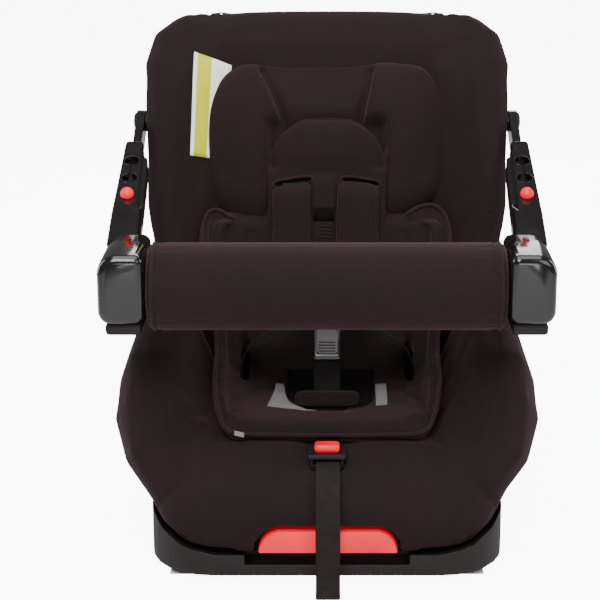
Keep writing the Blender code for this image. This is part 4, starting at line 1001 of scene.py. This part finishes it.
def panel_lifts(u, x, length):
    """Under and over surface of the panel; u is 0 in the middle and 1 at its edge."""
    above = smooth((length - 0.2120) / 0.008)
    under = mix(PANEL_UNDER, 0.0376, above)
    up = (length - 0.235) / (ARCH_TOP - 0.235)
    edge = max(abs(u), smooth(up) * 0.999)
    rolled = math.sqrt(max(1.0 - edge**6, 0.0))
    puff = 0.0050 * smooth((length - 0.205) / 0.030) * max(1.0 - (x / 0.075) ** 2, 0.0)
    nose = smooth((0.215 - length) / 0.02) * smooth((length - SHADE_PATCH_TOP + 0.001) / 0.0025)
    nose *= smooth((NOSE_HALF + 0.004 - abs(x - NOSE_MIDDLE)) / 0.006)
    over = PANEL_OVER + puff + 0.0042 * nose
    # the panel dips a little under the dark painted-shade patch
    under_shade_patch = smooth((NOSE_HALF + 0.001 - abs(x - NOSE_MIDDLE)) / 0.002)
    under_shade_patch *= smooth((SHADE_PATCH_TOP - length) / 0.002) * smooth((length - SHADE_PATCH_FOOT) / 0.002)
    over -= 0.0008 * under_shade_patch
    return under, mix(under + 0.0004, over, rolled)


def build_arch_panel():
    rows, columns = 90, 64
    grids = ([], [])
    for k in range(rows):
        v = k / (rows - 1)
        length = mix(ARCH_FOOT, ARCH_TOP, 1 - (1 - v) ** 1.25)
        closing = min(max((length - ARCH_SPRING) / (ARCH_TOP - ARCH_SPRING), 0.0), 0.9995)
        half = ARCH_HALF * math.sqrt(1.0 - closing**2)
        for grid in grids:
            grid.append([])
        for j in range(columns):
            u = -1 + 2 * j / (columns - 1)
            u = math.copysign(1 - (1 - abs(u)) ** 1.3, u)
            lifts = panel_lifts(u, u * half, length)
            for grid, lift in zip(grids, lifts):
                grid[-1].append(on_back(u * half, length, lift))
    bm = bmesh.new()
    under, over = [[[bm.verts.new(p) for p in row] for row in grid] for grid in grids]
    for layer in (under, over):
        for low, high in zip(layer, layer[1:]):
            for j in range(columns - 1):
                bm.faces.new((low[j], low[j + 1], high[j + 1], high[j]))
    for k in range(rows - 1):
        for j in (0, columns - 1):
            bm.faces.new((under[k][j], under[k + 1][j], over[k + 1][j], over[k][j]))
    for k in (0, rows - 1):
        for j in range(columns - 1):
            bm.faces.new((under[k][j], under[k][j + 1], over[k][j + 1], over[k][j]))
    panel = from_bmesh("arch_panel", bm, "insert_fabric", "seat")
    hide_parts("arch_pad")
    for side, sign in SIDES:
        bm = bmesh.new()
        outline = slot_outline(sign, 0.0225, 0.0032)
        rings = [[bm.verts.new(on_back(x, length, lift)) for x, length in outline] for lift in (0.03, 0.08)]
        for i in range(len(outline)):
            n = (i + 1) % len(outline)
            bm.faces.new((rings[0][i], rings[0][n], rings[1][n], rings[1][i]))
        bm.faces.new(rings[0][::-1])
        bm.faces.new(rings[1])
        cutter = from_bmesh(f"slot_cutter_{side}", bm, "lining", None)
        modifier = panel.modifiers.new("slot", "BOOLEAN")
        modifier.object = cutter
        modifier.operation = "DIFFERENCE"
        bake_with_parent(panel)
        bpy.data.objects.remove(cutter)
        tree = surface(panel)
        loop = [on_back(x, length, 0.056) for x, length in slot_outline(sign, 0.0238, 0.0046)]
        loop = snapped(loop, tree, 0.0004, -BACK_OUT)
        cord(f"slot_binding_{side}", loop, 0.0014, "piping", "seat", True)
        build_slot_lining(side, sign)
    outline = [on_back(sign * ARCH_HALF * 0.985, length, 0.051) for sign, length in ((-1, 0.10), (-1, 0.14), (-1, 0.18))]
    for i in range(17):
        a = math.pi * (1 - i / 16)
        x, length = ARCH_HALF * 0.985 * math.cos(a), mix(ARCH_SPRING, ARCH_TOP * 0.996, math.sin(a))
        outline.append(on_back(x, length, 0.046))
    outline += [on_back(ARCH_HALF * 0.985, length, 0.051) for length in (0.18, 0.14, 0.10)]
    cord("arch_piping", snapped(spline(outline), surface(panel), 0.0002), 0.0012, "piping", "seat")


def bake_with_parent(obj):
    bake(obj)
    obj.data.shade_smooth()


def build_slot_lining(side, sign):
    """A dark cloth gusset in the harness slot, with a slit that the strap passes through; its dark colour is painted
    shade for the inside of the slot.
    """
    rings = []
    bm = bmesh.new()
    x, length = sign * 0.038, 0.199
    for lift, grow in ((-0.001, 0.0), (0.0500, 0.0)):
        outer = [on_back(x + a * 0.0215, length + b * 0.0053, lift) for a, b in ((-1, -1), (1, -1), (1, 1), (-1, 1))]
        inner = [on_back(x + a * 0.0165, length + b * 0.0016, lift) for a, b in ((-1, -1), (1, -1), (1, 1), (-1, 1))]
        rings.append(([bm.verts.new(p) for p in outer], [bm.verts.new(p) for p in inner]))
    (low_out, low_in), (high_out, high_in) = rings
    for i in range(4):
        n = (i + 1) % 4
        bm.faces.new((low_out[i], low_out[n], high_out[n], high_out[i]))
        bm.faces.new((low_in[n], low_in[i], high_in[i], high_in[n]))
        bm.faces.new((low_out[n], low_out[i], low_in[i], low_in[n]))
        bm.faces.new((high_out[i], high_out[n], high_in[n], high_in[i]))
    lining = from_bmesh(f"slot_lining_{side}", bm, "lining", "seat")
    lining.data.shade_flat()


def build_centre_details():
    """A dark patch below the middle of the panel, painted shade in a shallow dip where the panel is not cut, and the
    gathers below it.
    """
    low, high = PANEL_OVER - 0.0009, PANEL_OVER - 0.0003
    bm = bmesh.new()
    corners = [(NOSE_MIDDLE + a * NOSE_HALF * 0.96, b) for a in (-1, 1) for b in (SHADE_PATCH_FOOT, SHADE_PATCH_TOP)]
    corners = [corners[0], corners[2], corners[3], corners[1]]
    rings = [[bm.verts.new(on_back(x, length, lift)) for x, length in corners] for lift in (low, high)]
    bm.faces.new(rings[0][::-1])
    bm.faces.new(rings[1])
    for i in range(4):
        n = (i + 1) % 4
        bm.faces.new((rings[0][i], rings[0][n], rings[1][n], rings[1][i]))
    from_bmesh("centre_shade_patch", bm, "lining", "seat")
    tree = surface(piece("arch_panel"))
    for i in range(4):
        length = 0.1475 - i * 0.0042
        line = [on_back(NOSE_MIDDLE + 0.002 + t * 0.0075, length - abs(t) * 0.0008, 0.056) for t in (-1, -0.5, 0, 0.5, 1)]
        cord(f"panel_gather_{i + 1}", snapped(spline(line), tree, 0.0002, -BACK_OUT), 0.0011, "piping", "seat")


# ---- head pillow, pads, bar ----------------------------------------------------------------------
def detail_head_pillow():
    """The wings stand proud of the middle panel, with a deep seam between them."""
    pillow = piece("head_pillow_cushion")
    for side, sign in SIDES:
        points = [on_back(x, length, 0.060) for x, length in V_LINES[side]]
        seam(pillow, f"pillow_wing_seam_{side}", points, "seat", 0.0055, 0.0042, (), 0.0, False, -BACK_OUT)


def detail_pads():
    for side, sign in SIDES:
        cushion = piece(f"shoulder_pad_{side}_cushion")
        points = SHOULDER_OUTLINE[side][:4] + ((SHOULDER_OUTLINE[side][4]),)
        middle = (SHOULDER_OUTLINE[side][1][0] + SHOULDER_INNER[side][2][0]) / 2
        loop = []
        for x, length in SHOULDER_OUTLINE[side] + SHOULDER_INNER[side]:
            loop.append(on_back(middle + (x - middle) * 0.84, 0.150 + (length - 0.150) * 0.93, 0.075))
        seam(cushion, f"shoulder_pad_{side}_edge", loop, "seat", 0.0009, 0.0018, (), 0.0008, True, -BACK_OUT)
    pad = piece("crotch_pad_cushion")
    low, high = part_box("crotch_pad")
    points = read(pad.data)
    rise = points[:, 2] - low.z
    points[:, 2] = low.z + rise * 0.62
    points[:, 1] -= 0.35 * rise * 0.38
    write(pad.data, points)
    middle = (low + high) / 2
    line = []
    for i in range(28):
        a = 2 * math.pi * i / 28
        x = 0.030 * math.copysign(abs(math.cos(a)) ** 0.7, math.cos(a))
        line.append(Vector((x, low.y - 0.004, low.z + 0.0090 + 0.0062 * math.sin(a))))
    seam(pad, "crotch_pad_edge", line, "seat", 0.0008, 0.0016, (), 0.0008, True, Vector((0, 1, 0)))


def detail_bar():
    sleeve = piece("bar_pad_sleeve")
    low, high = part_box("bar_pad")
    middle = (low + high) / 2
    radius = (high.z - low.z) / 2
    points = read(sleeve.data)
    # gathers where the sleeve is drawn in at its ends
    turn = np.arctan2(points[:, 2] - middle.z, points[:, 1] - middle.y)
    near_end = np.exp(-(high.x - np.abs(points[:, 0])) / 0.022)
    gather = 0.5 * np.sin(turn * 23.0 + np.sign(points[:, 0])) + 0.5 * np.sin(turn * 37.0 + 1.3)
    away = points - np.array(middle)
    away[:, 0] = 0.0
    reach = np.linalg.norm(away, axis=1, keepdims=True)
    outside = (reach > radius * 0.7).astype(float)
    points += away / np.maximum(reach, 1e-6) * (0.0007 * gather * near_end)[:, None] * outside
    write(sleeve.data, points)
    for side, sign in SIDES:
        for name, inset, cord_radius, depth in (("hem", 0.0045, 0.0016, 0.0008), ("seam", 0.0125, 0.0, 0.0010)):
            ring = []
            for i in range(48):
                a = 2 * math.pi * i / 48
                x = sign * (high.x - inset)
                ring.append(Vector((x, middle.y + (radius + 0.01) * math.cos(a), middle.z + (radius + 0.01) * math.sin(a))))
            offsets = () if cord_radius else (0.0028,)
            seam(sleeve, f"bar_{name}_{side}", ring, "guard_bar", depth, 0.0022, offsets, cord_radius, True)
    # the closure runs along the underside, facing the seat
    a = math.radians(-52)
    start = middle + Vector((0, math.cos(a), math.sin(a))) * radius
    line = [start + ACROSS * x for x in (low.x + 0.014, 0.0, high.x - 0.014)]
    seam(sleeve, "bar_closure", line, "guard_bar", 0.0016, 0.0030, (0.004, -0.004))


# ---- tags and grey lining ------------------------------------------------------------------------
def sheet(name, grid, thickness, finish, body):
    """A thin closed sheet over a grid of points, with UVs that run 0 to 1 both ways."""
    rows, columns = len(grid), len(grid[0])
    bm = bmesh.new()
    uv = bm.loops.layers.uv.new("UVMap")
    layers, places = [], {}
    normal = (grid[0][-1] - grid[0][0]).cross(grid[-1][0] - grid[0][0]).normalized()
    for offset in (0.0, thickness):
        layer = [[bm.verts.new(p + normal * offset) for p in row] for row in grid]
        for k, row in enumerate(layer):
            for j, vertex in enumerate(row):
                places[vertex] = (j / (columns - 1), k / (rows - 1))
        layers.append(layer)
    low, high = layers
    for k in range(rows - 1):
        for j in range(columns - 1):
            for layer in layers:
                bm.faces.new((layer[k][j], layer[k][j + 1], layer[k + 1][j + 1], layer[k + 1][j]))
    rim = [(0, j) for j in range(columns)] + [(k, columns - 1) for k in range(1, rows)]
    rim += [(rows - 1, j) for j in range(columns - 2, -1, -1)] + [(k, 0) for k in range(rows - 2, 0, -1)]
    for (a, b), (c, d) in zip(rim, rim[1:] + rim[:1]):
        bm.faces.new((low[a][b], low[c][d], high[c][d], high[a][b]))
    for face in bm.faces:
        for loop in face.loops:
            loop[uv].uv = places[loop.vert]
    return from_bmesh(name, bm, finish, body)


def build_side_tag():
    """A blank tag on the backrest, tucked under the left wing of the pillow."""
    tree = surface(piece("backrest_fabric"))
    top_left, top_right, foot_left, foot_right = (-0.159, 0.358), (-0.1145, 0.343), (-0.162, 0.231), (-0.124, 0.229)
    grid = []
    for k in range(25):
        v = k / 24
        row = []
        for j in range(9):
            u = j / 8
            x = mix(mix(top_left[0], top_right[0], u), mix(foot_left[0], foot_right[0], u), v)
            length = mix(mix(top_left[1], top_right[1], u), mix(foot_left[1], foot_right[1], u), v)
            base = snapped([on_back(x, length, 0.09)], tree, 0.0, -BACK_OUT)[0]
            curl = 0.0018 + 0.004 * u * (1 - v) ** 3 + 0.0012 * math.sin(v * 7.0) * (1 - u)
            row.append(base + BACK_OUT * curl)
        grid.append(row)
    sheet("side_tag", grid, 0.0005, "tag", "seat")


def build_small_tag():
    """A tiny folded tag in the front piping of the insert."""
    start = Vector((-0.0995, -0.1585, 0.1450))
    grid = [[start + Vector((0.0105 * j / 4, -0.0012 * k, -0.0014 * k - 0.0006 * j)) for j in range(5)] for k in range(4)]
    obj = sheet("piping_tag", grid, 0.0006, "tag", "seat")
    obj.data.materials[0] = FINISH["grey_lining"]


def evenly(points, count):
    """This many points, evenly spaced along a smooth curve through points."""
    line = spline(points)
    table = np.array(line)
    lengths = np.cumsum([0.0] + [(b - a).length for a, b in zip(line, line[1:])])
    places = np.linspace(0.0, lengths[-1], count)
    return [Vector([np.interp(p, lengths, table[:, axis]) for axis in range(3)]) for p in places]


def patch(name, first, second, finish, lift):
    """A flat piece of cloth lying on the insert, between two lines seen from above."""
    tree = surface(piece("infant_insert_fabric"))
    down = Vector((0, 0, -1))
    grid = []
    for a, b in zip(evenly(first, 26), evenly(second, 26)):
        row = [a.lerp(b, j / 10) for j in range(11)]
        grid.append([p - down * lift for p in snapped(row, tree, 0.0, down)])
    return sheet(name, grid, 0.0010, finish, "seat")


def build_crotch_shade_and_lining():
    """A dark patch round the crotch pad, painted shade on an insert that is not cut, and strips of grey lining cloth
    beside it.
    """
    z = 0.16
    left = ((-0.046, 0.020, z), (-0.046, -0.030, z), (-0.036, -0.062, z), (-0.026, -0.078, z))
    right = ((0.054, 0.020, z), (0.054, -0.030, z), (0.050, -0.060, z), (0.040, -0.078, z))
    # painted shade: a dark cloth patch laid over the insert
    patch("crotch_shade_patch", left, right, "lining", 0.0003)
    left = ((-0.059, -0.002, z), (-0.063, -0.042, z), (-0.067, -0.082, z))
    right = ((-0.050, -0.003, z), (-0.041, -0.062, z), (-0.012, -0.090, z))
    patch("crotch_lining_left", left, right, "grey_lining", 0.0010)
    left = ((0.0555, -0.004, z), (0.0555, -0.040, z), (0.0545, -0.076, z))
    right = ((0.0685, -0.004, z), (0.0685, -0.040, z), (0.0675, -0.076, z))
    patch("crotch_lining_right", left, right, "grey_lining", 0.0010)


# ---- hard parts ----------------------------------------------------------------------------------
def finish_nodes():
    """Plastics, steel and rubber on the frame's own nodes, with small rounded edges."""
    special = {"buckle_button": "buckle_plastic", "buckle_housing": "gloss_plastic"}
    for row in frame["record"]["subparts"]:
        node = NODES[row["node"]]
        if node.hide_render:
            continue
        dress_node(node, special.get(row["node"], row["material_slot"]))


def dress_node(node, finish):
    mesh = node.data
    mesh.materials.clear()
    mesh.materials.append(FINISH[finish])
    for name in ("custom_normal", "sharp_edge", "sharp_face"):
        if name in mesh.attributes:
            mesh.attributes.remove(mesh.attributes[name])
    weld = node.modifiers.new("weld", "WELD")
    weld.merge_threshold = 0.00002
    bevel = node.modifiers.new("soft edges", "BEVEL")
    bevel.width = 0.0005
    bevel.segments = 2
    bevel.limit_method = "ANGLE"
    bevel.angle_limit = math.radians(32)
    bevel.harden_normals = True
    mesh.shade_smooth()


def build_buckle_ribs():
    """Grip ribs across the lower half of the buckle's button."""
    low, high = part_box("buckle_button")
    for i in range(4):
        z = low.z + 0.0035 + i * 0.0032
        y = mix(low.y, high.y, 0.0) + (z - low.z) * 0.204
        ends = [Vector((x, y + 0.0001, z)) for x in (-0.0095, 0.0, 0.0095)]
        cord(f"buckle_rib_{i + 1}", ends, 0.0008, "shell_plastic", "buckle_button_body")


def build_slot_back():
    """The dark inside of the base, behind the lever's slot."""
    bm = bmesh.new()
    bmesh.ops.create_cube(bm, size=1.0)
    bmesh.ops.scale(bm, vec=(0.182, 0.0015, 0.0265), verts=bm.verts)
    bmesh.ops.translate(bm, vec=(0.0, -0.1935, 0.0175), verts=bm.verts)
    bmesh.ops.bevel(bm, geom=bm.edges[:], offset=0.0004, segments=2, affect="EDGES")
    from_bmesh("base_inner_wall", bm, "shell_plastic", "base")


start_soft_goods()
swell_all()
finish_soft_goods()
detail_seat_cover()
detail_backrest()
detail_insert()
build_arch_panel()
build_centre_details()
detail_head_pillow()
detail_pads()
detail_bar()
# harness and crotch straps get the darkened webbing, painted shade
for side_name, _ in SIDES:
    strap(f"harness_webbing_{side_name}", f"harness_strap_{side_name}", 0.030, 0.0018, "shaded_webbing")
strap("crotch_webbing", "crotch_strap", 0.030, 0.0018, "shaded_webbing")
strap("adjuster_webbing", "adjuster_strap", 0.026, 0.0018, "webbing")
build_side_tag()
build_small_tag()
build_crotch_shade_and_lining()
finish_nodes()
build_buckle_ribs()
build_slot_back()


# ---- camera, light and floor ---------------------------------------------------------------------
def add_camera():
    data = bpy.data.cameras.new("camera")
    data.sensor_width = 36.0
    data.lens = 105.15
    data.shift_x = -0.045
    data.shift_y = -0.049
    camera = linked("camera", data)
    camera.location = (0.0, -1.932, 0.798)
    camera.rotation_euler = (math.radians(75.0), 0.0, 0.0)
    SCENE.camera = camera


def add_light(name, place, aim, size, power, size_y=None):
    data = bpy.data.lights.new(name, "AREA")
    data.shape = "RECTANGLE"
    data.size = size
    data.size_y = size_y or size
    data.energy = power
    light = linked(name, data)
    light.location = place
    light.rotation_euler = (Vector(aim) - Vector(place)).to_track_quat("-Z", "Y").to_euler()


def add_studio():
    """White surroundings for the camera alone; the light comes from the lamps and a faint glow."""
    world = bpy.data.worlds.new("world")
    SCENE.world = world
    world.use_nodes = True
    tree = world.node_tree
    glow = tree.nodes["Background"]
    glow.inputs["Color"].default_value = (1, 1, 1, 1)
    path = tree.nodes.new("ShaderNodeLightPath")
    strength = tree.nodes.new("ShaderNodeMix")
    strength.inputs[2].default_value = 0.20
    strength.inputs[3].default_value = 14.0
    tree.links.new(path.outputs["Is Camera Ray"], strength.inputs[0])
    tree.links.new(strength.outputs[0], glow.inputs["Strength"])
    centre = (0.0, -0.05, 0.28)
    add_light("key", (-0.4, -1.7, 2.0), centre, 1.1, 48.0)
    add_light("fill", (1.2, -1.7, 1.3), centre, 1.2, 14.0)
    add_light("top", (0.0, -0.2, 2.1), centre, 1.6, 28.0)
    add_light("low", (0.0, -2.2, 0.35), (0.0, -0.2, 0.08), 1.0, 7.0, 0.4)
    add_light("rim_left", (-1.5, 0.3, 0.7), centre, 0.5, 9.0, 1.2)
    add_light("rim_right", (1.5, 0.3, 0.7), centre, 0.5, 9.0, 1.2)
    add_light("back", (0.2, 1.9, 1.2), centre, 1.2, 20.0)


def add_floor():
    """A pale floor: bright to the camera, and an ordinary matt white to the light; under the seat it does not glow to
    the camera, a painted shadow.
    """
    bm = bmesh.new()
    bmesh.ops.create_grid(bm, x_segments=1, y_segments=1, size=6.0)
    mesh = bpy.data.meshes.new("floor")
    bm.to_mesh(mesh)
    bm.free()
    floor = linked("floor", mesh)
    floor.location.z = -0.0005
    f = Finish("studio floor")
    seen = f.add("ShaderNodeLightPath").outputs["Is Camera Ray"]
    place = f.add("ShaderNodeSeparateXYZ", {0: f.place})
    # painted shadow: under the seat's footprint the floor does not glow to the camera
    wide = f.math("LESS_THAN", f.math("ABSOLUTE", place.outputs[0]), 0.168)
    deep = f.math("LESS_THAN", f.math("ABSOLUTE", f.math("ADD", place.outputs[1], 0.006)), 0.200)
    outside_painted_shadow = f.math("SUBTRACT", 1.0, f.math("MULTIPLY", wide, deep))
    strength = f.math("MULTIPLY", f.math("MULTIPLY", seen, outside_painted_shadow), 9.0)
    f.set(Base_Color=(0.80, 0.80, 0.80), Roughness=0.9)
    f.set(Emission_Color=(1.0, 1.0, 1.0), Emission_Strength=strength)
    mesh.materials.append(f.material)


add_camera()
add_studio()
add_floor()
